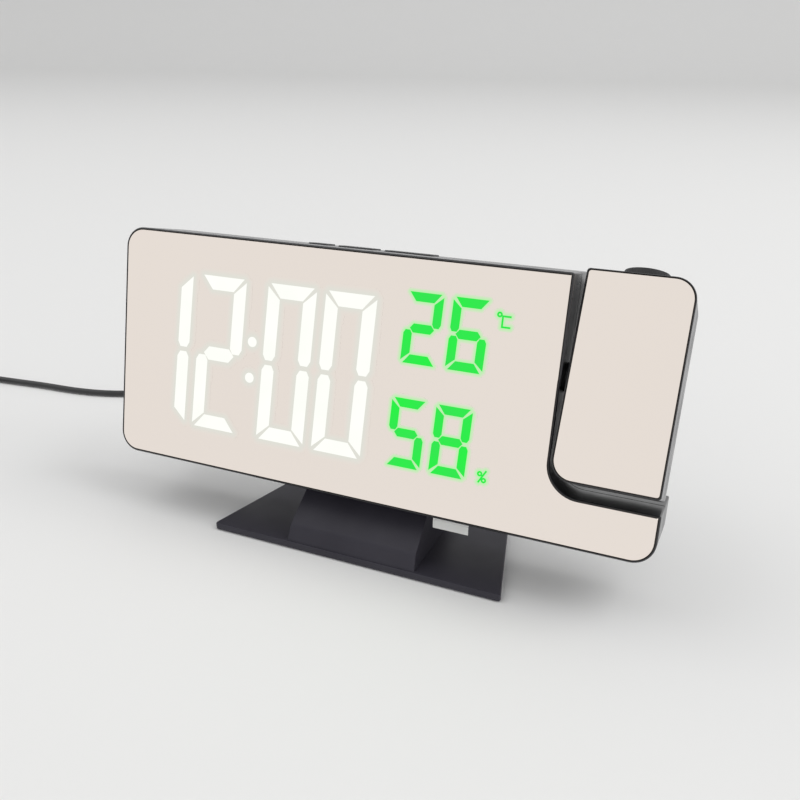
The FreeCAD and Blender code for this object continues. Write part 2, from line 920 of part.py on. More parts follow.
def digit_reflector():
    plate = box(
        (display_left + display_clearance, display_right - display_clearance),
        (reflector_front, reflector_front + reflector_depth),
        (display_bottom + display_clearance, display_top - display_clearance),
    )
    wells = []
    for figure, bars, x, z in digit_places():
        for points in bars.values():
            wells.append(polygon_slab(slanted(points, x, z), 0, board_back))
    wells += colon_dots(0, 0, board_back)
    for (first, second), middle in ((letter_corners, temperature_middle), (percent_ends, humidity_middle)):
        left, low = mark_place(first, middle)
        right, high = mark_place(second, middle)
        across = (left - mark_well_margin, right + mark_well_margin)
        wells.append(box(across, (0, board_back), (low - mark_well_margin, high + mark_well_margin)))
    return remove(plate, wells)


def display_board():
    board = box(
        (display_left + 2 * display_clearance, display_right + post_inset / 2),
        (board_front, board_back),
        (board_posts[0][1] - board_edge, board_posts[2][1] + board_edge),
    )
    hole = post_tip / 2 + board_hole_clearance
    length = board_thickness + 2 * past
    holes = [rod(hole, (x, board_front - past, z), (0, 1, 0), length) for x, z in board_posts]
    return remove(board, holes)


def bar_middle(points):
    return (sum(x for x, z in points) / len(points), sum(z for x, z in points) / len(points))


def segment_leds():
    chips = []
    half = led_size / 2
    for figure, bars, x, z in digit_places():
        for points in bars.values():
            mid_x, mid_z = bar_middle(slanted(points, x, z))
            depth = (board_front - led_rise, board_front)
            chips.append(box((mid_x - half, mid_x + half), depth, (mid_z - half / 2, mid_z + half / 2)))
    return group(chips)


def board_screws():
    head = (board_screw_head, board_screw_head_height)
    return group([
        screw((x, board_back, z), (0, 1, 0), board_screw_length, post_tip / 2, *head) for x, z in board_posts
    ])


def case_screws():
    seat = split + tower_floor
    return group([
        screw((x, seat, z), (0, 1, 0), screw_length, screw_radius, screw_head_radius, screw_head_height)
        for x, z in screw_places
    ])


def control_board():
    board = box((control_left, control_right), (control_front, control_back), (control_bottom, control_top))
    hole = screw_radius + screw_slack
    length = board_thickness + 2 * past
    holes = [rod(hole, (x, control_front - past, z), (0, 1, 0), length) for x, z in control_posts]
    return remove(board, holes)


def control_screws():
    head = (screw_head_radius, screw_head_height)
    return group([
        screw((x, control_front, z), (0, -1, 0), control_screw_length, screw_radius, *head)
        for x, z in control_posts
    ])


def key_switches():
    half = switch_side / 2
    row = (rear_key_row - half, rear_key_row + half)
    return group([
        box((x - half, x + half), (control_back, switch_top), row) for x in rear_key_places()
    ])


def top_switches():
    """Small side-pressed switches on the front of the control board's top edge."""
    top = case_height - wall - key_slack - key_flange - nub_length - key_travel - key_slack
    depth = (control_front - side_switch_reach, control_front)
    half = switch_side / 2
    return group([
        box((x - half, x + half), depth, (top - side_switch_height, top)) for x, width in top_keys.values()
    ])


def clock_chip():
    left = control_left + chip_inset
    low = control_bottom + chip_rise
    high = low + chip_height
    body = box((left, left + chip_width), (control_front - chip_thickness, control_front), (low, high))
    legs = []
    for index in range(chip_legs):
        x = left + chip_leg_width + index * chip_leg_pitch
        for span in ((low - chip_leg_reach, low), (high, high + chip_leg_reach)):
            depth = (control_front - chip_leg_thickness, control_front)
            legs.append(box((x, x + chip_leg_width), depth, span))
    return join([body] + legs)


def clock_crystal():
    x = control_left + chip_inset + chip_width + crystal_gap
    start = (x, control_front - crystal_radius, control_bottom + chip_rise)
    return rod(crystal_radius, start, (0, 0, 1), crystal_length)


def buzzer():
    start = (buzzer_x, rear_inside - buzzer_height, buzzer_z)
    length = buzzer_height - buzzer_hole / 2
    can = pipe(buzzer_radius, buzzer_hole, start, (0, 1, 0), length)
    return join([can, rod(buzzer_radius, start, (0, 1, 0), buzzer_hole)])


def climate_sensor():
    middle = vent_x + (vent_count - 1) * vent_pitch / 2
    back = rear_inside - sensor_gap
    front = back - sensor_thickness
    low = vent_z - sensor_height / 2
    across = (middle - sensor_width / 2, middle + sensor_width / 2)
    body = box(across, (front, back), (low, low + sensor_height))
    slots = []
    for index in range(sensor_slot_count):
        z = low + sensor_slot_pitch / 2 + index * sensor_slot_pitch
        wide = (middle - sensor_slot_width / 2, middle + sensor_slot_width / 2)
        slots.append(box(wide, (back - sensor_slot_depth, back + past), (z, z + sensor_slot_pitch / 2)))
    return remove(body, slots)


def power_jack():
    mouth = case_depth - jack_recess
    wide = jack_width - 2 * jack_wall
    tall = jack_height - 2 * jack_wall
    outer = centred(jack_x, jack_z, jack_width, jack_height, jack_corner)
    inner = centred(jack_x, jack_z, wide, tall, jack_corner - jack_wall / 2)
    can = front_slab(outer, control_back, mouth)
    return can.cut(front_slab(inner, mouth - plug_tongue - jack_wall, case_depth))


def rear_key(x):
    face = case_depth + key_proud
    radius = rear_key_height * key_corner
    cap = front_slab(centred(x, rear_key_row, rear_key_width, rear_key_height, radius), key_back, face)
    cap = cap.makeFillet(key_round, [edge for edge in cap.Edges if edge.BoundBox.YMin > face - 1e-4])
    wide = rear_key_width + 2 * key_flange_edge
    tall = rear_key_height + 2 * key_flange_edge
    flange = front_slab(
        centred(x, rear_key_row, wide, tall, radius + key_flange_edge), key_back, key_back + key_flange
    )
    nub = rod(nub_radius, (x, key_back - nub_length, rear_key_row), (0, 1, 0), nub_length + key_flange / 2)
    return join([cap, flange, nub])


def top_key(x, width):
    face = case_height + top_key_proud
    base = case_height - wall - key_slack - key_flange
    cap = flat_slab(centred(x, top_key_middle, width, top_key_depth, top_key_corner), base, face)
    cap = cap.makeFillet(top_key_round, [edge for edge in cap.Edges if edge.BoundBox.ZMin > face - 1e-4])
    wide = width + 2 * key_flange_edge
    deep = top_key_depth + 2 * key_flange_edge
    flange = flat_slab(
        centred(x, top_key_middle, wide, deep, top_key_corner + key_gap), base, base + key_flange
    )
    start = (x, control_front - side_switch_reach / 2, base - nub_length)
    nub = rod(top_nub_radius, start, (0, 0, 1), nub_length + key_flange / 2)
    return join([cap, flange, nub])


# Foot, in the frame of the table


def case_point(x, y, z):
    """Where a point of the upright case lies once the case leans on the foot."""
    angle = math.radians(case_lean)
    back = y * math.cos(angle) + z * math.sin(angle)
    up = z * math.cos(angle) - y * math.sin(angle)
    return Vector(x, rest_y + back, case_lift + up)


def foot_block():
    front = -foot_depth / 2
    meets = case_point(0, block_reach, 0)
    leaves = case_point(0, case_depth, 0)
    table = pad_height
    outline = [
        (front, table, 0.3),
        (front + block_tail, table, 0.3),
        (front + block_tail - block_heel, table + foot_plate + 1, 2.0),
        (leaves.y, leaves.z, 0.4),
        (meets.y, meets.z, 0.4),
        (front + block_lip_run, block_lip_rise, block_lip_round),
    ]
    half = block_half_width
    solid = side_slab(outline, -half, half)
    inner_tail = front + block_tail - block_heel - block_wall
    roof = block_wall * 1.5
    inner_outline = [
        (front + block_wall * 1.5, table - past, 0.2),
        (inner_tail, table - past, 0.2),
        (inner_tail - block_heel, table + foot_plate, 1.0),
        (leaves.y - block_wall, leaves.z - roof, 1.0),
        (meets.y + block_wall / 2, meets.z - roof, 1.0),
        (front + block_lip_run + block_wall, block_lip_rise - block_wall, 1.0),
    ]
    hollow = side_slab(inner_outline, block_side_wall - half, half - block_side_wall)
    trims = []
    for side in (-1, 1):
        trim = box((0, half), (-foot_depth, foot_depth), (-case_lift, 2 * case_lift))
        trim.rotate(Vector(0, 0, 0), Vector(0, 1, 0), -block_draft)
        trim.translate(Vector(half, 0, table))
        if side < 0:
            trim = trim.mirror(Vector(0, 0, 0), Vector(1, 0, 0))
        trims.append(trim)
    return remove(solid, trims), hollow


def stand():
    half_front = foot_front_width / 2
    half_back = half_front - foot_depth * math.tan(math.radians(foot_side_angle))
    front = -foot_depth / 2
    back = foot_depth / 2
    outline = [
        (-half_front, front, foot_front_corner),
        (half_front, front, foot_front_corner),
        (half_back, back, foot_back_corner),
        (-half_back, back, foot_back_corner),
    ]
    plate = flat_slab(outline, pad_height, pad_height + foot_plate)
    rims = [edge for edge in plate.Edges if edge.BoundBox.ZMin > pad_height + foot_plate - 1e-4]
    plate = plate.makeFillet(foot_rim_round, rims)
    block, hollow = foot_block()
    whole = join([plate, block])
    whole = whole.cut(hollow)
    posts = []
    holes = []
    for x, y in stand_screw_places():
        post = rod(post_radius, (x, y, -case_lift), (0, 0, 1), case_lift - post_gap)
        shank = rod(screw_radius + screw_slack, (x, y, -case_depth * 2), (0, 0, 1), case_depth * 2 + past)
        access = rod(
            screw_head_radius + screw_slack, (x, y, -case_depth * 2), (0, 0, 1), case_depth * 2 - foot_grip
        )
        posts.append(on_foot(post))
        holes += [on_foot(shank), on_foot(access)]
    clear_below = box((-half_front, half_front), (front, back), (-case_lift, pad_height))
    whole = join([whole] + posts).cut(clear_below)
    recesses = [
        rod(pad_radius + pad_clearance, (x, y, 0), (0, 0, 1), pad_height + pad_recess)
        for x, y in pad_places()
    ]
    return remove(whole, holes + recesses)


def pad_places():
    half_front = foot_front_width / 2
    half_back = half_front - foot_depth * math.tan(math.radians(foot_side_angle))
    margin = pad_radius + pad_margin
    front_margin = pad_radius + pad_front_margin
    return [
        (-half_front + front_margin, -foot_depth / 2 + margin),
        (half_front - front_margin, -foot_depth / 2 + margin),
        (half_back - margin, foot_depth / 2 - margin),
        (-half_back + margin, foot_depth / 2 - margin),
    ]


def rubber_feet():
    pads = []
    for x, y in pad_places():
        pad = rod(pad_radius, (x, y, 0), (0, 0, 1), pad_height + pad_recess)
        rims = [edge for edge in pad.Edges if edge.BoundBox.ZMax < 1e-4]
        pads.append(pad.makeFillet(pad_round, rims))
    return group(pads)


def stand_screws():
    head = (screw_head_radius, screw_head_height)
    return group([
        on_foot(screw((x, y, -foot_grip), (0, 0, -1), foot_screw_length, screw_radius, *head))
        for x, y in stand_screw_places()
    ])


# Projector head, about its pivot with its mirror towards -y


head_front = -split
head_back = split
head_mirror_back = head_front + head_mirror_thickness
top_wall = head_height / 2 - head_wall
head_seat = head_back - head_wall - screw_head_height - 1.0
head_screw_places = [
    (side * head_screw_spread, head_screw_rise - head_height / 2) for side in (-1, 1)
]
tube_top = head_height / 2 - tube_recess
tube_step = tube_top - tube_length
housing_bottom = tube_top - projector_length
film_bottom = tube_step - film_drop
ring_bottom = tube_top - ring_overlap
carrier_top = tube_top - carrier_recess
lens_seat = carrier_top - lens_seat_depth - lens_thickness
saddle_height = tube_top - saddle_drop
shaft_reach = head_wall + head_gap + wall + pivot_boss + washer_thickness
shaft_end = head_left + head_wall - shaft_reach - clip_thickness - clip_play - shaft_tip


def head_mirror():
    plate = front_slab(head_outline(head_rim + mirror_gap), head_front, head_mirror_back)
    return plate.makeChamfer(mirror_bevel, flat_edges(plate, head_front))


def head_holes():
    length = head_wall + 2 * past
    ring_hole = rod(ring_radius + head_hole_clearance, (0, 0, top_wall - past), (0, 0, 1), length)
    return [ring_hole, rod(pivot_radius, (head_left - past, 0, 0), (1, 0, 0), length)]


def head_front_shell():
    shell = front_slab(head_outline(0), head_front, 0)
    shell = shell.makeChamfer(rim_bevel * 0.6, flat_edges(shell, head_front))
    shell = shell.makeChamfer(seam_bevel, flat_edges(shell, 0))
    shell = remove(shell, [
        front_slab(head_outline(head_wall), head_mirror_back + head_wall, 0),
        front_slab(head_outline(head_rim), head_front, head_mirror_back),
    ])
    depth = -(head_mirror_back + head_wall)
    posts = [rod(boss_radius, (x, -depth, z), (0, 1, 0), depth) for x, z in head_screw_places]
    shell = join([shell] + posts)
    thread_hole = screw_radius + running_clearance
    holes = [rod(thread_hole, (x, -depth, z), (0, 1, 0), depth) for x, z in head_screw_places]
    return remove(shell, holes + head_holes())


def head_rear_shell():
    shell = front_slab(head_outline(0), 0, head_back)
    shell = shell.makeFillet(head_rear_round, flat_edges(shell, head_back))
    shell = shell.makeChamfer(seam_bevel, flat_edges(shell, 0))
    shell = shell.cut(front_slab(head_outline(head_wall), 0, head_back - head_wall))
    posts = [
        rod(tower_radius, (x, 0, z), (0, 1, 0), head_back - head_wall / 2) for x, z in head_screw_places
    ]
    saddle = box(
        (-head_width / 2 + head_wall / 2, head_width / 2 - head_wall / 2),
        (0, head_back - head_wall / 2),
        (saddle_height, saddle_height + saddle_thickness),
    )
    saddle = saddle.cut(rod(tube_radius, (0, 0, 0), (0, 0, 1), head_height))
    shell = join([shell, saddle] + posts)
    head_hole = screw_head_radius + screw_slack
    shank_hole = screw_radius + screw_slack
    cuts = [rod(head_hole, (x, head_seat, z), (0, 1, 0), head_depth) for x, z in head_screw_places]
    cuts += [rod(shank_hole, (x, -past, z), (0, 1, 0), head_depth) for x, z in head_screw_places]
    return remove(shell, cuts + head_holes())


def head_screws():
    head = (screw_head_radius, screw_head_height)
    return group([
        screw((x, head_seat, z), (0, 1, 0), head_screw_length, screw_radius, *head)
        for x, z in head_screw_places
    ])


def pivot_tube():
    """Hollow shaft, flanged inside the head and grooved for its clip inside the case."""
    inside = head_left + head_wall
    end = inside + pivot_flange
    shaft = join([
        rod(pivot_radius, (shaft_end, 0, 0), (1, 0, 0), end - shaft_end),
        rod(pivot_radius + 2, (inside, 0, 0), (1, 0, 0), pivot_flange),
    ])
    start = shaft_end + shaft_tip - 2 * running_clearance
    width = clip_thickness + 4 * running_clearance
    groove = pipe(pivot_radius + past, pivot_radius - clip_groove, (start, 0, 0), (1, 0, 0), width)
    bore = rod(pivot_bore, (shaft_end - past, 0, 0), (1, 0, 0), end - shaft_end + 2 * past)
    return remove(shaft, [groove, bore])


def pivot_clip():
    """Open ring snapped into the shaft's groove."""
    start = shaft_end + shaft_tip
    inner = pivot_radius - clip_groove + running_clearance
    clip = pipe(pivot_radius + washer_rim, inner, (start, 0, 0), (1, 0, 0), clip_thickness)
    across = (start - past, start + clip_thickness + past)
    mouth = box(across, (-clip_mouth / 2, clip_mouth / 2), (-pivot_radius * 2, 0))
    return clip.cut(mouth)


def friction_washer():
    """Fixed washer on the case's boss, which the clip presses on. Drawn in the upright case."""
    outer_face = notch_x - wall - pivot_boss
    start = (outer_face - washer_thickness, split, pivot_height)
    hole = pivot_radius + head_hole_clearance
    return pipe(pivot_radius + washer_rim, hole, start, (1, 0, 0), washer_thickness)


def projector_tube():
    barrel = join([
        rod(tube_radius, (0, 0, tube_step - past), (0, 0, 1), tube_top - tube_step + past),
        rod(housing_radius, (0, 0, housing_bottom), (0, 0, 1), tube_step - housing_bottom),
    ])
    room = tube_step - housing_bottom - housing_shoulder
    return remove(barrel, [
        rod(tube_bore, (0, 0, housing_bottom), (0, 0, 1), projector_length + past),
        rod(housing_bore, (0, 0, housing_bottom - past), (0, 0, 1), room + past),
    ])


def condenser_lens():
    top = film_bottom - condenser_gap
    base = top - condenser_rise
    disc = rod(condenser_radius + condenser_rim, (0, 0, base - condenser_disc), (0, 0, 1), condenser_disc)
    ball = Part.makeSphere(condenser_curve, Vector(0, 0, top - condenser_curve))
    dome = ball.common(rod(condenser_radius, (0, 0, base), (0, 0, 1), condenser_rise + past))
    return join([disc, dome])


def time_film():
    half = film_side / 2
    return box((-half, half), (-half, half), (film_bottom, film_bottom + film_thickness))


def projector_board():
    across = (-projector_board_width / 2, projector_board_width / 2)
    depth = (-projector_board_depth / 2, projector_board_depth / 2)
    return box(across, depth, (housing_bottom - board_thickness, housing_bottom))


def projector_led():
    top = housing_bottom + led_height
    can = rod(led_radius, (0, 0, housing_bottom), (0, 0, 1), led_height - led_radius)
    dome = Part.makeSphere(led_radius, Vector(0, 0, top - led_radius))
    flange = rod(led_radius + led_flange, (0, 0, housing_bottom), (0, 0, 1), led_flange_height)
    return join([can, dome, flange])


def focus_ring():
    """Turned by hand at the end of the head; ribs round its edge give grip."""
    body = rod(ring_radius - ring_relief, (0, 0, ring_bottom), (0, 0, 1), ring_height)
    grip = rod(ring_radius, (0, 0, ring_bottom + ring_rim), (0, 0, 1), ring_height - 2 * ring_rim)
    body = join([body, grip])
    bore = tube_radius + running_clearance
    mouth = lens_radius + ring_relief
    return remove(body, [
        rod(bore, (0, 0, ring_bottom - past), (0, 0, 1), ring_height - ring_lip + past),
        rod(mouth, (0, 0, ring_bottom), (0, 0, 1), ring_height + past),
    ])


def lens_cell():
    """Sleeve that carries the lens up and down the tube as the ring turns."""
    outer = tube_bore - running_clearance
    bottom = carrier_top - carrier_length
    cell = rod(outer, (0, 0, bottom), (0, 0, 1), carrier_length)
    return remove(cell, [
        rod(outer - carrier_wall, (0, 0, bottom - past), (0, 0, 1), carrier_length + 2 * past),
        rod(lens_radius, (0, 0, lens_seat), (0, 0, 1), carrier_length),
    ])


def projection_lens():
    radius = lens_radius - lens_play
    shoulder = lens_seat + lens_thickness
    disc = rod(radius, (0, 0, lens_seat), (0, 0, 1), lens_thickness)
    ball = Part.makeSphere(lens_curve, Vector(0, 0, shoulder + lens_rise - lens_curve))
    dome = ball.common(rod(radius, (0, 0, shoulder), (0, 0, 1), lens_rise + past))
    return join([disc, dome])


# Power lead


def cord_plug():
    wide = jack_width - 2 * (jack_wall + plug_gap)
    tall = jack_height - 2 * (jack_wall + plug_gap)
    tongue = centred(jack_x, jack_z, wide, tall, plug_tongue_corner)
    grip_start = case_depth + plug_gap
    tip = front_slab(tongue, case_depth - plug_tongue, grip_start + past)
    outline = centred(jack_x, jack_z, plug_width, plug_height, plug_corner)
    grip = front_slab(outline, grip_start, grip_start + plug_length)
    ends = [edge for edge in grip.Edges if edge.BoundBox.YLength < 1e-4]
    return join([tip, grip.makeFillet(plug_end_round, ends)])


def cord_relief():
    start = Vector(jack_x, case_depth + plug_gap + plug_length, jack_z)
    tip_radius = cord_diameter / 2 + relief_wall
    return Part.makeCone(relief_radius, tip_radius, relief_length, start, Vector(0, 1, 0))


def relief_end():
    return case_point(jack_x, case_depth + plug_gap + plug_length + relief_length, jack_z)


def cord_route():
    start = relief_end()
    angle = math.radians(case_lean)
    outward = Vector(0, math.cos(angle), -math.sin(angle))
    on_table = cord_diameter / 2
    return [
        start,
        start + outward * cord_straight,
        Vector(-63, 62, 20),
        Vector(-71, 74, 8),
        Vector(-86, 81, on_table),
        Vector(-106, 81.5, on_table),
        Vector(-130, 73, on_table),
        Vector(-152, 58.5, on_table),
        Vector(-168, 50.5, on_table),
        Vector(-186, 46.5, on_table),
        Vector(-206, 45.6, on_table),
        Vector(-228, 43, on_table),
        Vector(-250, 41, on_table),
    ]


def tail_route():
    on_table = cord_diameter / 2
    return [
        Vector(-254, -1, on_table),
        Vector(-245, -1.5, on_table),
        Vector(-236, -5, 2.2),
        Vector(-226, -10.5, usb_grip_thickness / 2),
        Vector(-217, -13, usb_grip_thickness / 2),
    ]


def cord_tube(points):
    """Round tube along straight runs joined by tangent arcs as large as the runs allow."""
    edges = []
    radii = []
    last = points[0]
    for index in range(1, len(points) - 1):
        here = points[index]
        back = points[index - 1] - here
        ahead = points[index + 1] - here
        turn = math.pi - back.getAngle(ahead)
        radius = 0.45 * min(back.Length, ahead.Length) / math.tan(turn / 2)
        reach = radius * math.tan(turn / 2)
        start = here + back.normalize() * reach
        end = here + ahead.normalize() * reach
        towards = (back + ahead).normalize()
        middle = here + towards * (radius / math.cos(turn / 2) - radius)
        edges.append(Part.LineSegment(last, start).toShape())
        edges.append(Part.Arc(start, middle, end).toShape())
        radii.append(radius)
        last = end
    edges.append(Part.LineSegment(last, points[-1]).toShape())
    path = Part.Wire(edges)
    heading = (points[1] - points[0]).normalize()
    circle = Part.Wire(Part.makeCircle(cord_diameter / 2, points[0], heading))
    tube = path.makePipeShell([circle], True, False)
    expected = path.Length * math.pi * cord_diameter ** 2 / 4
    print("cord radii", [round(radius, 1) for radius in radii])
    print("cord length", round(path.Length, 1), "volume ratio", round(tube.Volume / expected, 4))
    return tube


def cord_coil():
    half = coil_turns_across * cord_diameter / 2
    height = coil_layers * cord_diameter
    x, y = coil_middle
    ring = pipe(coil_turn_radius + half, coil_turn_radius - half, (x, y, 0), (0, 0, 1), height)
    rims = [edge for edge in ring.Edges if edge.BoundBox.ZLength < 1e-4]
    return ring.makeFillet(cord_diameter * 0.4, rims)


def along_tail(shape):
    """Turn a plug piece drawn along +X from the origin onto the end of the lead."""
    points = tail_route()
    heading = (points[-1] - points[-2]).normalize()
    shape.Placement = FreeCAD.Placement(points[-1], FreeCAD.Rotation(Vector(1, 0, 0), heading))
    return shape


def usb_grip():
    half_width = usb_grip_width / 2
    half_thick = usb_grip_thickness / 2
    grip = side_slab([
        (-half_width, -half_thick, usb_grip_corner),
        (half_width, -half_thick, usb_grip_corner),
        (half_width, half_thick, usb_grip_corner),
        (-half_width, half_thick, usb_grip_corner),
    ], 0, usb_grip_length)
    ends = [edge for edge in grip.Edges if edge.BoundBox.XLength < 1e-4]
    return along_tail(grip.makeFillet(usb_end_round, ends))


def usb_shell():
    outer = box(
        (usb_grip_length, usb_grip_length + usb_shell_length),
        (-usb_width / 2, usb_width / 2),
        (-usb_thickness / 2, usb_thickness / 2),
    )
    inner = box(
        (usb_grip_length + usb_shell_floor, usb_grip_length + usb_shell_length + past),
        (usb_shell_wall - usb_width / 2, usb_width / 2 - usb_shell_wall),
        (-usb_tongue_top, usb_thickness / 2 - usb_shell_wall),
    )
    return along_tail(outer.cut(inner))


def build():
    upright = {
        "front_mirror": front_mirror(),
        "front_shell": front_shell(),
        "rear_cover": rear_cover(),
        "time_windows": time_windows(),
        "climate_windows": climate_windows(),
        "digit_reflector": digit_reflector(),
        "display_board": display_board(),
        "segment_leds": segment_leds(),
        "board_screws": board_screws(),
        "case_screws": case_screws(),
        "control_board": control_board(),
        "control_screws": control_screws(),
        "key_switches": key_switches(),
        "top_switches": top_switches(),
        "clock_chip": clock_chip(),
        "clock_crystal": clock_crystal(),
        "alarm_buzzer": buzzer(),
        "climate_sensor": climate_sensor(),
        "power_jack": power_jack(),
        "coin_cell": coin_cell(),
        "battery_contacts": battery_contacts(),
        "battery_pull_tab": pull_tab(),
        "battery_door": battery_door(),
        "friction_washer": friction_washer(),
        "cord_plug": cord_plug(),
        "cord_relief": cord_relief(),
    }
    for name, x in zip(rear_keys, rear_key_places()):
        upright[name] = rear_key(x)
    for name, (x, width) in top_keys.items():
        upright[name] = top_key(x, width)
    head = {
        "head_mirror": head_mirror(),
        "head_front_shell": head_front_shell(),
        "head_rear_shell": head_rear_shell(),
        "head_screws": head_screws(),
        "pivot_tube": pivot_tube(),
        "pivot_clip": pivot_clip(),
        "projector_tube": projector_tube(),
        "condenser_lens": condenser_lens(),
        "time_film": time_film(),
        "projector_board": projector_board(),
        "projector_led": projector_led(),
        "focus_ring": focus_ring(),
        "lens_cell": lens_cell(),
        "projection_lens": projection_lens(),
    }
    nodes = {name: on_foot(shape) for name, shape in upright.items()}
    nodes.update({name: in_notch(shape) for name, shape in head.items()})
    nodes["stand"] = stand()
    nodes["stand_screws"] = stand_screws()
    nodes["rubber_feet"] = rubber_feet()
    nodes["power_cord"] = cord_tube(cord_route())
    nodes["power_cord_coil"] = cord_coil()
    nodes["power_cord_tail"] = cord_tube(tail_route())
    nodes["usb_grip"] = usb_grip()
    nodes["usb_shell"] = usb_shell()
    return nodes


def main():
    os.makedirs("parts", exist_ok=True)
    nodes = build()
    for name, shape in nodes.items():
        shape.exportStep("parts/" + name + ".step")
        low = shape.BoundBox
        print(name, "solids", len(shape.Solids), "valid", shape.isValid(), "volume", round(shape.Volume, 1),
              "z", round(low.ZMin, 2), round(low.ZMax, 2))


main()
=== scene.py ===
import bpy
import json
import math
from mathutils import Matrix, Quaternion, Vector


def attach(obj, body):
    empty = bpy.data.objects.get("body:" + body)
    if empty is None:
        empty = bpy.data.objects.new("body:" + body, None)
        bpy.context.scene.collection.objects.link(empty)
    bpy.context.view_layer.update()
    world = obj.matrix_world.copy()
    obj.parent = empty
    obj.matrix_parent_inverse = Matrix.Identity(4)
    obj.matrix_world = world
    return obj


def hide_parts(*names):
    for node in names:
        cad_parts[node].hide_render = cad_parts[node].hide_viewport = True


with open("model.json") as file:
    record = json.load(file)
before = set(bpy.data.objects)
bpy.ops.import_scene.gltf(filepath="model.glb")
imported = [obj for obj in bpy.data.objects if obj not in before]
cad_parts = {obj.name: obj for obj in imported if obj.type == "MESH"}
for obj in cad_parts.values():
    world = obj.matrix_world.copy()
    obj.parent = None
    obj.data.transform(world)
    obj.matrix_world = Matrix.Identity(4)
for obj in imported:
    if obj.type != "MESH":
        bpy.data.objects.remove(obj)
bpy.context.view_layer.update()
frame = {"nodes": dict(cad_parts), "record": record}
scene = bpy.context.scene
mm = 0.001
print("frame loaded:", len(frame["nodes"]), "nodes")

# The case is drawn upright in the part's source, then leaned back onto its foot.
clock = {
    "lean": 12.8,
    "frontEdge": -23.9,
    "lift": 21.5,
    "headTilt": 16.6,
    "headPivot": (79.1, 11.2, 48.7),
}
caseMatrix = Matrix.Translation((0, clock["frontEdge"] * mm, clock["lift"] * mm)) @ Matrix.Rotation(
    -math.radians(clock["lean"]), 4, "X")
headMatrix = caseMatrix @ Matrix.Translation(Vector(clock["headPivot"]) * mm) @ Matrix.Rotation(
    -math.radians(clock["headTilt"]), 4, "X")


def casePoint(x, depth, height):
    return caseMatrix @ (Vector((x, depth, height)) * mm)


# Camera

cameraLook = {
    "place": (0.1081, -0.2349, 0.1590),
    "aim": (0.0093, -0.0075, 0.0521),
    "roll": 0.17,
    "lens": 37.54,
}


def makeCamera():
    data = bpy.data.cameras.new("photoCamera")
    data.sensor_width = 36.0
    data.lens = cameraLook["lens"]
    data.clip_start = 0.01
    camera = bpy.data.objects.new("photoCamera", data)
    scene.collection.objects.link(camera)
    view = Vector(cameraLook["aim"]) - Vector(cameraLook["place"])
    camera.rotation_mode = "QUATERNION"
    camera.location = cameraLook["place"]
    camera.rotation_quaternion = view.to_track_quat("-Z", "Y") @ Quaternion(
        (0, 0, 1), math.radians(cameraLook["roll"]))
    scene.camera = camera


makeCamera()

# Power lead: behind the clock, out to the left, then put away in a coil with its plug beside it.

lead = {
    "diameter": 3.0,
    "jack": (-60.0, 24.0),
    "plugFace": 25.15,          # depth behind the mirror where the plug's grip starts
    "reliefEnd": 51.15,         # and where the strain relief ends
    "straight": 16.0,
    "onTable": [
        (-63, 62, 20), (-71, 74, 8), (-86, 81, 1.5), (-106, 81.5, 1.5), (-130, 73, 1.5), (-152, 58.5, 1.5),
        (-168, 50.5, 1.5), (-186, 46.5, 1.5), (-206, 45.6, 1.5), (-228, 43, 1.5), (-250, 41, 1.5),
    ],
    "coilMiddle": (-256.0, 20.0),
    "pointsPerTurn": 16,
    "turns": 6.5167,
    "tail": [(-245, -1.5, 1.5), (-236, -5, 2.2), (-226, -10.5, 3.8), (-217, -13, 3.8)],
    "length": 0.94,
}
# turn count, radius and height along the coil: in along the table, up at the inside, out on top
coilStages = [(0, 21, 1.5), (0.5, 18, 1.5), (2.5, 12, 1.5), (3.0, 12, 4.5), (6.0, 21, 4.5), (6.2, 21.2, 4.5),
              (6.5167, 21, 1.5)]


def coilAt(turn):
    for start, end in zip(coilStages, coilStages[1:]):
        startTurn, startRadius, startHeight = start
        endTurn, endRadius, endHeight = end
        if turn <= endTurn + 1e-6:
            share = (turn - startTurn) / (endTurn - startTurn)
            radius = startRadius + share * (endRadius - startRadius)
            height = startHeight + share * (endHeight - startHeight)
            angle = math.radians(90) + turn * math.tau
            x, y = lead["coilMiddle"]
            return (x + radius * math.cos(angle), y + radius * math.sin(angle), height)


def leadRoute():
    x, z = lead["jack"]
    route = [casePoint(x, lead["reliefEnd"], z), casePoint(x, lead["reliefEnd"] + lead["straight"], z)]
    route += [Vector(point) * mm for point in lead["onTable"]]
    steps = round(lead["turns"] * lead["pointsPerTurn"])
    route += [Vector(coilAt(lead["turns"] * step / steps)) * mm for step in range(steps + 1)]
    return route + [Vector(point) * mm for point in lead["tail"]]


def makeLead():
    route = leadRoute()
    data = bpy.data.curves.new("powerLead", "CURVE")
    data.dimensions = "3D"
    data.resolution_u = 6
    # the thickness sits on the points, since a curve's box grows by each point's own radius
    data.bevel_depth = 1.0
    data.bevel_resolution = 4
    data.use_fill_caps = True
    spline = data.splines.new("NURBS")
    spline.points.add(len(route) - 1)
    for point, place in zip(spline.points, route):
        point.co = (*place, 1.0)
        point.radius = lead["diameter"] / 2 * mm
    spline.order_u = 3
    spline.use_endpoint_u = True
    piece = bpy.data.objects.new("powerLead", data)
    scene.collection.objects.link(piece)
    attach(piece, "clock_body")
    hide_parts("power_cord", "power_cord_coil", "power_cord_tail")
    return piece, tuple(route[0])


powerLead, leadStart = makeLead()
print("lead laid")

# Finishes


def newFinish(name):
    material = bpy.data.materials.new(name)
    material.use_nodes = True
    return material, material.node_tree, material.node_tree.nodes["Principled BSDF"]


def addNode(tree, kind, values=None, **settings):
    node = tree.nodes.new(kind)
    for key, value in settings.items():
        setattr(node, key, value)
    for socket, value in (values or {}).items():
        node.inputs[socket].default_value = value
    return node


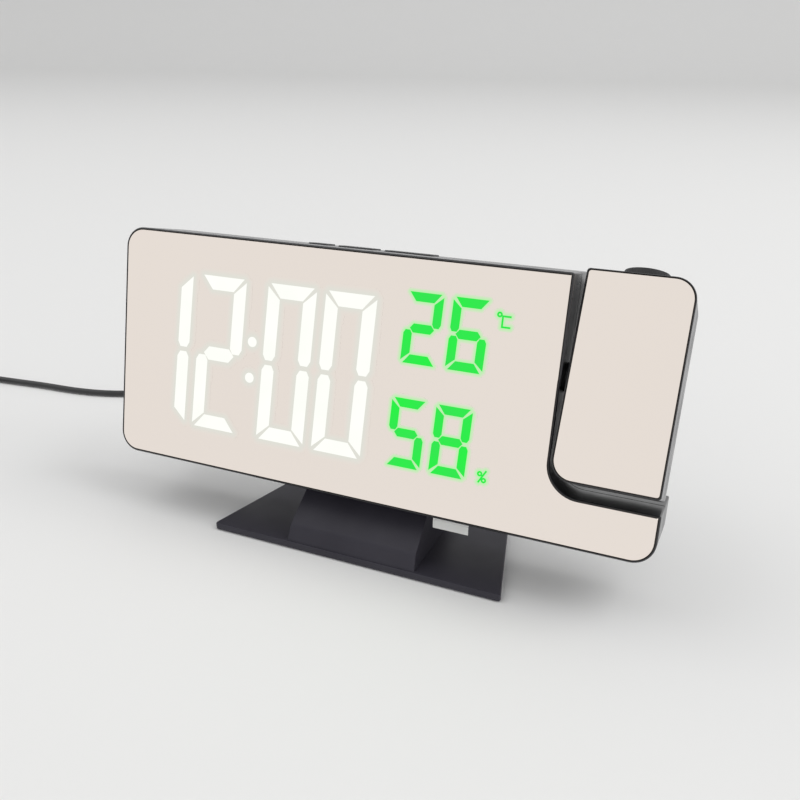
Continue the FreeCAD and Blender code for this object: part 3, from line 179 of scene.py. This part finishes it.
def noiseOn(tree, scale, detail=3.0, stretch=(1, 1, 1)):
    place = addNode(tree, "ShaderNodeTexCoord")
    mapping = addNode(tree, "ShaderNodeMapping", {"Scale": stretch})
    noise = addNode(tree, "ShaderNodeTexNoise", {"Scale": scale, "Detail": detail})
    tree.links.new(place.outputs["Object"], mapping.inputs["Vector"])
    tree.links.new(mapping.outputs["Vector"], noise.inputs["Vector"])
    return noise.outputs["Fac"]


def spread(tree, fac, low, high):
    rise = addNode(tree, "ShaderNodeMapRange", {
        "From Min": 0.3, "From Max": 0.7, "To Min": low, "To Max": high})
    tree.links.new(fac, rise.inputs["Value"])
    return rise.outputs["Result"]


def blendColours(tree, fac, first, second):
    ramp = addNode(tree, "ShaderNodeValToRGB")
    ramp.color_ramp.elements[0].position = 0.35
    ramp.color_ramp.elements[1].position = 0.65
    ramp.color_ramp.elements[0].color = (*first, 1)
    ramp.color_ramp.elements[1].color = (*second, 1)
    tree.links.new(fac, ramp.inputs["Fac"])
    return ramp.outputs["Color"]


def addGrain(tree, shader, scale, depth, stretch=(1, 1, 1), detail=2.0):
    bump = addNode(tree, "ShaderNodeBump", {"Strength": 1.0, "Distance": depth * mm})
    tree.links.new(noiseOn(tree, scale, detail, stretch), bump.inputs["Height"])
    tree.links.new(bump.outputs["Normal"], shader.inputs["Normal"])


def moulded(name, look):
    material, tree, shader = newFinish(name)
    cloudy = noiseOn(tree, look.get("cloud", 45.0))
    tree.links.new(blendColours(tree, cloudy, look["dark"], look["pale"]), shader.inputs["Base Color"])
    stretch = look.get("stretch", (1, 1, 1))
    wiped = noiseOn(tree, look.get("wipe", 120.0), 4.0, stretch)
    tree.links.new(spread(tree, wiped, *look["rough"]), shader.inputs["Roughness"])
    addGrain(tree, shader, look.get("grain", 1800.0), look.get("relief", 0.01), stretch)
    shader.inputs["Metallic"].default_value = look.get("metal", 0.0)
    shader.inputs["IOR"].default_value = look.get("ior", 1.49)
    shader.inputs["Specular IOR Level"].default_value = look.get("shine", 0.5)
    shader.inputs["Coat Weight"].default_value = look.get("coat", 0.0)
    shader.inputs["Coat Roughness"].default_value = look.get("coatRough", 0.2)
    shader.inputs["Sheen Weight"].default_value = look.get("sheen", 0.0)
    return material


plastics = {
    "case_plastic": {"dark": (0.012, 0.0115, 0.013), "pale": (0.019, 0.0185, 0.021), "rough": (0.26, 0.36),
                     "grain": 2600.0, "relief": 0.004},
    "key_plastic": {"dark": (0.020, 0.020, 0.022), "pale": (0.027, 0.027, 0.030), "rough": (0.42, 0.55),
                    "grain": 3200.0, "relief": 0.008},
    "foot_plastic": {"dark": (0.030, 0.028, 0.038), "pale": (0.038, 0.036, 0.047), "rough": (0.34, 0.44),
                     "grain": 2400.0, "relief": 0.005, "shine": 0.2},
    "white_plastic": {"dark": (0.74, 0.74, 0.72), "pale": (0.80, 0.80, 0.78), "rough": (0.45, 0.6)},
    "part_black": {"dark": (0.018, 0.018, 0.018), "pale": (0.028, 0.028, 0.028), "rough": (0.34, 0.46)},
    "ring_black": {"dark": (0.014, 0.014, 0.015), "pale": (0.022, 0.022, 0.024), "rough": (0.38, 0.5),
                   "grain": 2600.0, "relief": 0.006},
    "foot_rubber": {"dark": (0.012, 0.012, 0.012), "pale": (0.024, 0.023, 0.022), "rough": (0.75, 0.9),
                    "grain": 1500.0, "relief": 0.03, "sheen": 0.2},
    "cord_black": {"dark": (0.011, 0.011, 0.012), "pale": (0.017, 0.017, 0.018), "rough": (0.36, 0.5),
                   "grain": 1200.0, "relief": 0.02},
    "led_chips": {"dark": (0.72, 0.62, 0.22), "pale": (0.85, 0.78, 0.45), "rough": (0.2, 0.3), "coat": 0.6},
    "circuit_board": {"dark": (0.006, 0.075, 0.025), "pale": (0.010, 0.13, 0.045), "rough": (0.25, 0.4),
                      "cloud": 700.0, "grain": 900.0, "relief": 0.03, "coat": 0.4},
    "screw_steel": {"dark": (0.10, 0.10, 0.105), "pale": (0.19, 0.19, 0.195), "rough": (0.3, 0.45),
                    "metal": 1.0, "grain": 1500.0, "relief": 0.008},
    "bare_steel": {"dark": (0.48, 0.47, 0.45), "pale": (0.62, 0.61, 0.59), "rough": (0.18, 0.32),
                   "metal": 1.0, "grain": 900.0, "relief": 0.004, "stretch": (1, 6, 1)},
}

mirrorLook = {
    "reflect": (0.793, 0.723, 0.664),
    "rough": (0.015, 0.045),
    "smudge": 30.0,
    "faintest": 0.992,          # share of the tint where the coating is thinnest
    "unevenness": 14.0,
    # colours of the painted glow on the mirror round the white and the green bars
    "paintedBarGlow": (0.750, 0.750, 0.685),
    "paintedGreenGlow": (0.50, 0.88, 0.44),
}


def mirrorCoating(name, glow=None):
    material, tree, shader = newFinish(name)
    shader.inputs["Metallic"].default_value = 1.0
    reflect = mirrorLook["reflect"]
    if glow is None:
        faint = tuple(part * mirrorLook["faintest"] for part in reflect)
        tint = blendColours(tree, noiseOn(tree, mirrorLook["unevenness"]), faint, reflect)
    else:
        # painted glow: the coating's colour turns toward the glow colour near the lit bars
        strength = addNode(tree, "ShaderNodeAttribute", attribute_name="glow")
        blend = addNode(tree, "ShaderNodeMix", data_type="RGBA")
        blend.inputs[6].default_value = (*reflect, 1)
        blend.inputs[7].default_value = (*glow, 1)
        tree.links.new(strength.outputs["Fac"], blend.inputs[0])
        tint = blend.outputs[2]
    tree.links.new(tint, shader.inputs["Base Color"])
    wiped = noiseOn(tree, mirrorLook["smudge"], 5.0, (1, 1, 2.5))
    tree.links.new(spread(tree, wiped, *mirrorLook["rough"]), shader.inputs["Roughness"])
    return material


lightLook = {
    "white": ((1.0, 1.0, 0.955), (0.975, 0.985, 0.93)),
    "green": ((0.010, 0.86, 0.050), (0.022, 0.78, 0.070)),
    "cover": (0.01, 0.01, 0.01),
    "coverRough": 0.35,
    "coverShine": 0.1,
    "unevenness": 90.0,
}


def litInlay(name, colours):
    material, tree, shader = newFinish(name)
    shader.inputs["Base Color"].default_value = (*lightLook["cover"], 1)
    shader.inputs["Roughness"].default_value = lightLook["coverRough"]
    shader.inputs["Specular IOR Level"].default_value = lightLook["coverShine"]
    even = blendColours(tree, noiseOn(tree, lightLook["unevenness"], 1.0), colours[1], colours[0])
    tree.links.new(even, shader.inputs["Emission Color"])
    shader.inputs["Emission Strength"].default_value = 1.0
    return material


clears = {
    "lens_clear": {"name": "lensGlass", "tint": (0.94, 0.96, 1.0), "rough": (0.01, 0.03), "through": 0.95},
    "film_dark": {"name": "timeFilm", "tint": (0.06, 0.06, 0.07), "rough": (0.05, 0.1), "through": 0.4},
    "clear_film": {"name": "pullTabFilm", "tint": (0.90, 0.90, 0.88), "rough": (0.08, 0.2), "through": 0.25},
}


def clearFinish(look):
    material, tree, shader = newFinish(look["name"])
    faint = tuple(part * 0.97 for part in look["tint"])
    tinted = blendColours(tree, noiseOn(tree, 60.0), faint, look["tint"])
    tree.links.new(tinted, shader.inputs["Base Color"])
    tree.links.new(spread(tree, noiseOn(tree, 150.0), *look["rough"]), shader.inputs["Roughness"])
    shader.inputs["Transmission Weight"].default_value = look["through"]
    shader.inputs["IOR"].default_value = 1.5
    shader.inputs["Coat Weight"].default_value = 0.3
    return material


finishes = {slot: moulded(slot + "Finish", look) for slot, look in plastics.items()}
finishes["display_mirror"] = mirrorCoating("displayMirror")
finishes["white_light"] = litInlay("timeLight", lightLook["white"])
finishes["green_light"] = litInlay("climateLight", lightLook["green"])
finishes.update((slot, clearFinish(look)) for slot, look in clears.items())
for part in frame["record"]["subparts"]:
    for slot in frame["nodes"][part["node"]].material_slots:
        slot.material = finishes[part["material_slot"]]
powerLead.data.materials.append(finishes["cord_black"])
print("finishes:", len(finishes))

# Node trees for the small repeated things. Each runs on a holder object and ends in a plain mesh; only the
# key marks are drawn from the holder's own points.


def newTree(name, sockets):
    tree = bpy.data.node_groups.new(name, "GeometryNodeTree")
    tree.interface.new_socket("Geometry", in_out="INPUT", socket_type="NodeSocketGeometry")
    tree.interface.new_socket("Geometry", in_out="OUTPUT", socket_type="NodeSocketGeometry")
    for label, kind in sockets:
        tree.interface.new_socket(label, in_out="INPUT", socket_type="NodeSocket" + kind)
    return tree, tree.nodes.new("NodeGroupInput"), tree.nodes.new("NodeGroupOutput")


def closeTree(tree, start, end, geometry):
    real = addNode(tree, "GeometryNodeRealizeInstances")
    paint = addNode(tree, "GeometryNodeSetMaterial")
    tree.links.new(geometry, real.inputs["Geometry"])
    tree.links.new(real.outputs["Geometry"], paint.inputs["Geometry"])
    tree.links.new(start.outputs["Material"], paint.inputs["Material"])
    tree.links.new(paint.outputs["Geometry"], end.inputs["Geometry"])


def growPiece(name, tree, values, points=((0, 0, 0),), edges=(), place=None):
    holderMesh = bpy.data.meshes.new(name + "Points")
    holderMesh.from_pydata([Vector(point) * mm for point in points], edges, [])
    holder = bpy.data.objects.new(name + "Holder", holderMesh)
    scene.collection.objects.link(holder)
    modifier = holder.modifiers.new("grow", "NODES")
    modifier.node_group = tree
    for item in tree.interface.items_tree:
        if item.in_out == "INPUT" and item.name in values:
            modifier[item.identifier] = values[item.name]
    evaluated = holder.evaluated_get(bpy.context.evaluated_depsgraph_get())
    mesh = bpy.data.meshes.new_from_object(evaluated)
    if place is not None:
        mesh.transform(place)
    piece = bpy.data.objects.new(name, mesh)
    scene.collection.objects.link(piece)
    bpy.data.objects.remove(holder)
    bpy.data.meshes.remove(holderMesh)
    return piece


# Ribs round the focus ring

ringRibs = {"count": 44, "radius": 6.93, "ribRadius": 0.2, "ribHeight": 3.3, "middle": 31.4}


def ribTree():
    tree, start, end = newTree("ribsRoundARing", [
        ("Count", "Int"), ("Radius", "Float"), ("Rib Radius", "Float"), ("Rib Height", "Float"),
        ("Material", "Material")])
    ring = addNode(tree, "GeometryNodeMeshCircle")
    rib = addNode(tree, "GeometryNodeMeshCylinder", {"Vertices": 8})
    onRing = addNode(tree, "GeometryNodeInstanceOnPoints")
    link = tree.links.new
    link(start.outputs["Count"], ring.inputs["Vertices"])
    link(start.outputs["Radius"], ring.inputs["Radius"])
    link(start.outputs["Rib Radius"], rib.inputs["Radius"])
    link(start.outputs["Rib Height"], rib.inputs["Depth"])
    link(ring.outputs["Mesh"], onRing.inputs["Points"])
    link(rib.outputs["Mesh"], onRing.inputs["Instance"])
    closeTree(tree, start, end, onRing.outputs["Instances"])
    return tree


ribs = growPiece("focusRingRibs", ribTree(), {
    "Count": ringRibs["count"], "Radius": ringRibs["radius"] * mm, "Rib Radius": ringRibs["ribRadius"] * mm,
    "Rib Height": ringRibs["ribHeight"] * mm, "Material": finishes["ring_black"],
}, place=headMatrix @ Matrix.Translation((0, 0, ringRibs["middle"] * mm)))
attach(ribs, "focus_ring_body")
print("focus ring ribbed")

# Ribs round the grips of the two plugs, in loops that follow each grip's section

gripRibs = {
    "ribRadius": 0.3,
    "sunk": 0.12,
    "plugGripRibs": {"wide": 7.0, "across": 11.0, "corner": 2.4, "count": 5, "first": 4.0, "pitch": 2.0},
    "usbGripRibs": {"wide": 15.6, "across": 7.6, "corner": 2.2, "count": 7, "first": 5.0, "pitch": 2.0},
    "usbRise": 0.2,             # keeps its ribs off the table
}


def gripTree():
    tree, start, end = newTree("loopsAlongAGrip", [
        ("Wide", "Float"), ("Across", "Float"), ("Corner", "Float"), ("Rib Radius", "Float"),
        ("Count", "Int"), ("First", "Vector"), ("Pitch", "Vector"), ("Material", "Material")])
    link = tree.links.new
    section = addNode(tree, "GeometryNodeCurvePrimitiveQuadrilateral")
    link(start.outputs["Wide"], section.inputs["Width"])
    link(start.outputs["Across"], section.inputs["Height"])
    rounded = addNode(tree, "GeometryNodeFilletCurve", {"Count": 8}, mode="POLY")
    link(section.outputs["Curve"], rounded.inputs["Curve"])
    link(start.outputs["Corner"], rounded.inputs["Radius"])
    wire = addNode(tree, "GeometryNodeCurvePrimitiveCircle", {"Resolution": 8})
    link(start.outputs["Rib Radius"], wire.inputs["Radius"])
    loop = addNode(tree, "GeometryNodeCurveToMesh")
    link(rounded.outputs["Curve"], loop.inputs["Curve"])
    link(wire.outputs["Curve"], loop.inputs["Profile Curve"])
    row = addNode(tree, "GeometryNodeMeshLine")
    link(start.outputs["Count"], row.inputs["Count"])
    link(start.outputs["First"], row.inputs["Start Location"])
    link(start.outputs["Pitch"], row.inputs["Offset"])
    placed = addNode(tree, "GeometryNodeInstanceOnPoints")
    link(row.outputs["Mesh"], placed.inputs["Points"])
    link(loop.outputs["Mesh"], placed.inputs["Instance"])
    closeTree(tree, start, end, placed.outputs["Instances"])
    return tree


def makeGripRibs(name, tree, place):
    look = gripRibs[name]
    inset = 2 * gripRibs["sunk"]
    piece = growPiece(name, tree, {
        "Wide": (look["wide"] - inset) * mm, "Across": (look["across"] - inset) * mm,
        "Corner": look["corner"] * mm, "Rib Radius": gripRibs["ribRadius"] * mm, "Count": look["count"],
        "First": (0.0, 0.0, look["first"] * mm), "Pitch": (0.0, 0.0, look["pitch"] * mm),
        "Material": finishes["cord_black"],
    }, place=place)
    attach(piece, "clock_body")
    return piece


# loops are drawn flat and stacked upward, so each place turns that stack along its plug
alongPlug = Matrix(((0, 1, 0, 0), (0, 0, 1, 0), (1, 0, 0, 0), (0, 0, 0, 1)))
alongTail = Matrix(((0, 0, 1, 0), (1, 0, 0, 0), (0, 1, 0, 0), (0, 0, 0, 1)))
jackX, jackZ = lead["jack"]
plugFace = casePoint(jackX, lead["plugFace"], jackZ)
plugPlace = Matrix.Translation(plugFace) @ caseMatrix.to_3x3().to_4x4() @ alongPlug
beforeEnd, tailEnd = [Vector(point) * mm for point in lead["tail"][-2:]]
usbTurn = math.atan2(tailEnd.y - beforeEnd.y, tailEnd.x - beforeEnd.x)
usbFace = tailEnd + Vector((0, 0, gripRibs["usbRise"] * mm))
usbPlace = Matrix.Translation(usbFace) @ Matrix.Rotation(usbTurn, 4, "Z") @ alongTail
gripLoops = gripTree()
onLead = [frame["nodes"][name] for name in ("cord_plug", "cord_relief", "usb_grip", "usb_shell")]
onLead.append(makeGripRibs("plugGripRibs", gripLoops, plugPlace))
onLead.append(makeGripRibs("usbGripRibs", gripLoops, usbPlace))
print("plug grips ribbed")

# Plain raised marks on the keys at the back: mode ring, set square, up, down, and a small clock face

keyMarks = {
    "face": 25.9,
    "sunk": 0.16,
    "stroke": 0.21,
    "row": 62.0,
    "first": -52.0,
    "pitch": 15.0,
}


def loopOf(sides, radius, turn=90.0):
    angles = [math.radians(turn + 360.0 * side / sides) for side in range(sides)]
    return [(radius * math.cos(angle), radius * math.sin(angle)) for angle in angles]


markLoops = {
    "mode_key": [loopOf(20, 1.2)],
    "set_key": [loopOf(4, 1.5, 45.0)],
    "up_key": [loopOf(3, 1.45)],
    "down_key": [loopOf(3, 1.45, -90.0)],
    "alarm_key": [loopOf(24, 1.45), [(0.0, 0.85), (0.0, 0.0)], [(0.0, 0.0), (0.65, -0.4)]],
}


def strokeTree():
    tree, start, end = newTree("raisedStrokes", [
        ("Stroke", "Float"), ("Material", "Material")])
    lines = addNode(tree, "GeometryNodeMeshToCurve")
    wire = addNode(tree, "GeometryNodeCurvePrimitiveCircle", {"Resolution": 8})
    tube = addNode(tree, "GeometryNodeCurveToMesh", {"Fill Caps": True})
    tree.links.new(start.outputs["Geometry"], lines.inputs["Mesh"])
    tree.links.new(start.outputs["Stroke"], wire.inputs["Radius"])
    tree.links.new(lines.outputs["Curve"], tube.inputs["Curve"])
    tree.links.new(wire.outputs["Curve"], tube.inputs["Profile Curve"])
    closeTree(tree, start, end, tube.outputs["Mesh"])
    return tree


strokes = strokeTree()
for index, (key, loops) in enumerate(markLoops.items()):
    points = []
    edges = []
    x = keyMarks["first"] + index * keyMarks["pitch"]
    depth = keyMarks["face"] - keyMarks["sunk"]
    for loop in loops:
        begin = len(points)
        points += [(x - across, depth, keyMarks["row"] + up) for across, up in loop]
        edges += [(begin + step, begin + step + 1) for step in range(len(loop) - 1)]
        if len(loop) > 2:
            edges.append((len(points) - 1, begin))
    mark = growPiece(key + "Mark", strokes, {
        "Stroke": keyMarks["stroke"] * mm, "Material": finishes["white_plastic"],
    }, points, edges, caseMatrix)
    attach(mark, key + "_body")
print("key marks:", len(markLoops))

# Painted glow: light that spills round the lit bars, painted as a tint in the mirror coating's colour

spill = {
    "spacing": 0.5,
    "proud": 0.012,             # the windows themselves stand 0.04 proud
    "time": {"left": -88.0, "right": 5.0, "low": 11.0, "high": 69.5, "reach": 2.6},
    "climate": {"left": 7.5, "right": 48.0, "low": 11.5, "high": 72.0, "reach": 1.5},
}


def spillTree():
    tree, start, end = newTree("spillRoundTheBars", [
        ("Bars", "Object"), ("Width", "Float"), ("Height", "Float"), ("Columns", "Int"), ("Rows", "Int"),
        ("Reach", "Float"), ("Place", "Vector"), ("Turn", "Float"), ("Material", "Material")])
    link = tree.links.new
    sheet = addNode(tree, "GeometryNodeMeshGrid")
    link(start.outputs["Width"], sheet.inputs["Size X"])
    link(start.outputs["Height"], sheet.inputs["Size Y"])
    link(start.outputs["Columns"], sheet.inputs["Vertices X"])
    link(start.outputs["Rows"], sheet.inputs["Vertices Y"])
    turn = addNode(tree, "ShaderNodeCombineXYZ")
    link(start.outputs["Turn"], turn.inputs["X"])
    placed = addNode(tree, "GeometryNodeTransform")
    link(sheet.outputs["Mesh"], placed.inputs["Geometry"])
    link(start.outputs["Place"], placed.inputs["Translation"])
    link(turn.outputs["Vector"], placed.inputs["Rotation"])
    bars = addNode(tree, "GeometryNodeObjectInfo")
    link(start.outputs["Bars"], bars.inputs["Object"])
    near = addNode(tree, "GeometryNodeProximity", target_element="FACES")
    link(bars.outputs["Geometry"], near.inputs[0])
    fade = addNode(tree, "ShaderNodeMapRange", {"From Min": 0.0, "To Min": 1.0, "To Max": 0.0},
                   interpolation_type="SMOOTHSTEP")
    link(near.outputs["Distance"], fade.inputs["Value"])
    link(start.outputs["Reach"], fade.inputs["From Max"])
    keep = addNode(tree, "GeometryNodeStoreNamedAttribute", {"Name": "glow"},
                   data_type="FLOAT", domain="POINT")
    link(placed.outputs["Geometry"], keep.inputs["Geometry"])
    link(fade.outputs["Result"], keep.inputs["Value"])
    dark = addNode(tree, "FunctionNodeCompare", {"B": 0.001}, data_type="FLOAT", operation="LESS_THAN")
    link(fade.outputs["Result"], dark.inputs["A"])
    trim = addNode(tree, "GeometryNodeDeleteGeometry", domain="POINT")
    link(keep.outputs["Geometry"], trim.inputs["Geometry"])
    link(dark.outputs["Result"], trim.inputs["Selection"])
    closeTree(tree, start, end, trim.outputs["Geometry"])
    return tree


def makeSpill(name, tree, area, node, colour):
    width = area["right"] - area["left"]
    height = area["high"] - area["low"]
    place = casePoint((area["left"] + area["right"]) / 2, -spill["proud"], (area["low"] + area["high"]) / 2)
    piece = growPiece(name, tree, {
        "Bars": frame["nodes"][node], "Width": width * mm, "Height": height * mm,
        "Columns": round(width / spill["spacing"]), "Rows": round(height / spill["spacing"]),
        "Reach": area["reach"] * mm, "Place": place, "Turn": math.radians(90 - clock["lean"]),
        "Material": mirrorCoating(name + "Finish", colour),
    })
    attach(piece, "clock_body")
    print(name, len(piece.data.polygons), "faces")


barSpill = spillTree()
makeSpill("timeGlow", barSpill, spill["time"], "time_windows", mirrorLook["paintedBarGlow"])
makeSpill("climateGlow", barSpill, spill["climate"], "climate_windows", mirrorLook["paintedGreenGlow"])

# Stage and light

stageLook = {
    "floor": (0.82, 0.82, 0.815),
    "halfWidth": 9.0,
    "front": -4.5,
    "back": 3.6,
    "bend": 0.9,
    "wallTop": 4.5,
    "bendSteps": 12,
    "worldLight": 0.72,
}


def whiteToRays(tree, shader, output, glossyOnly):
    path = addNode(tree, "ShaderNodeLightPath")
    white = addNode(tree, "ShaderNodeEmission" if glossyOnly else "ShaderNodeBackground",
                    {"Color": (1, 1, 1, 1), "Strength": 1.0})
    seen = addNode(tree, "ShaderNodeMath", operation="MAXIMUM")
    tree.links.new(path.outputs["Is Glossy Ray"], seen.inputs[0])
    tree.links.new(path.outputs["Is Transmission Ray"], seen.inputs[1])
    fac = seen.outputs[0]
    if not glossyOnly:
        either = addNode(tree, "ShaderNodeMath", operation="MAXIMUM")
        tree.links.new(fac, either.inputs[0])
        tree.links.new(path.outputs["Is Camera Ray"], either.inputs[1])
        fac = either.outputs[0]
    mix = addNode(tree, "ShaderNodeMixShader")
    tree.links.new(fac, mix.inputs[0])
    tree.links.new(shader, mix.inputs[1])
    tree.links.new(white.outputs[0], mix.inputs[2])
    tree.links.new(mix.outputs[0], output.inputs["Surface"])


def makeFloor():
    side = [(stageLook["front"], 0.0), (stageLook["back"], 0.0)]
    for step in range(1, stageLook["bendSteps"] + 1):
        angle = math.radians(90) * step / stageLook["bendSteps"]
        side.append((stageLook["back"] + stageLook["bend"] * math.sin(angle),
                     stageLook["bend"] * (1 - math.cos(angle))))
    side.append((stageLook["back"] + stageLook["bend"], stageLook["wallTop"]))
    half = stageLook["halfWidth"]
    points = [(x, y, z) for y, z in side for x in (-half, half)]
    faces = [(2 * i, 2 * i + 1, 2 * i + 3, 2 * i + 2) for i in range(len(side) - 1)]
    mesh = bpy.data.meshes.new("paleFloor")
    mesh.from_pydata(points, [], faces)
    for face in mesh.polygons:
        face.use_smooth = True
    material, tree, shader = newFinish("paleFloor")
    shader.inputs["Base Color"].default_value = (*stageLook["floor"], 1)
    shader.inputs["Roughness"].default_value = 0.9
    shader.inputs["Specular IOR Level"].default_value = 0.1
    whiteToRays(tree, shader.outputs[0], tree.nodes["Material Output"], True)
    mesh.materials.append(material)
    floor = bpy.data.objects.new("paleFloor", mesh)
    scene.collection.objects.link(floor)


def makeWorld():
    world = bpy.data.worlds.new("studio")
    world.use_nodes = True
    scene.world = world
    background = world.node_tree.nodes["Background"]
    background.inputs["Color"].default_value = (1, 1, 1, 1)
    background.inputs["Strength"].default_value = stageLook["worldLight"]
    whiteToRays(world.node_tree, background.outputs[0], world.node_tree.nodes["World Output"], False)


lamps = {
    "keyLamp": {"place": (1.6, 0.3, 2.0), "size": 1.5, "watts": 20.0},
    "fillLamp": {"place": (-1.5, -0.4, 2.3), "size": 2.0, "watts": 10.0},
}


def makeLamps():
    for name, look in lamps.items():
        data = bpy.data.lights.new(name, "AREA")
        data.size = look["size"]
        data.energy = look["watts"]
        lamp = bpy.data.objects.new(name, data)
        lamp.location = look["place"]
        lamp.rotation_mode = "QUATERNION"
        lamp.rotation_quaternion = (Vector((0, 0, 0.05)) - Vector(look["place"])).to_track_quat("-Z", "Y")
        scene.collection.objects.link(lamp)


makeFloor()
makeWorld()
makeLamps()
scene.view_settings.view_transform = "Standard"
print("stage lit")
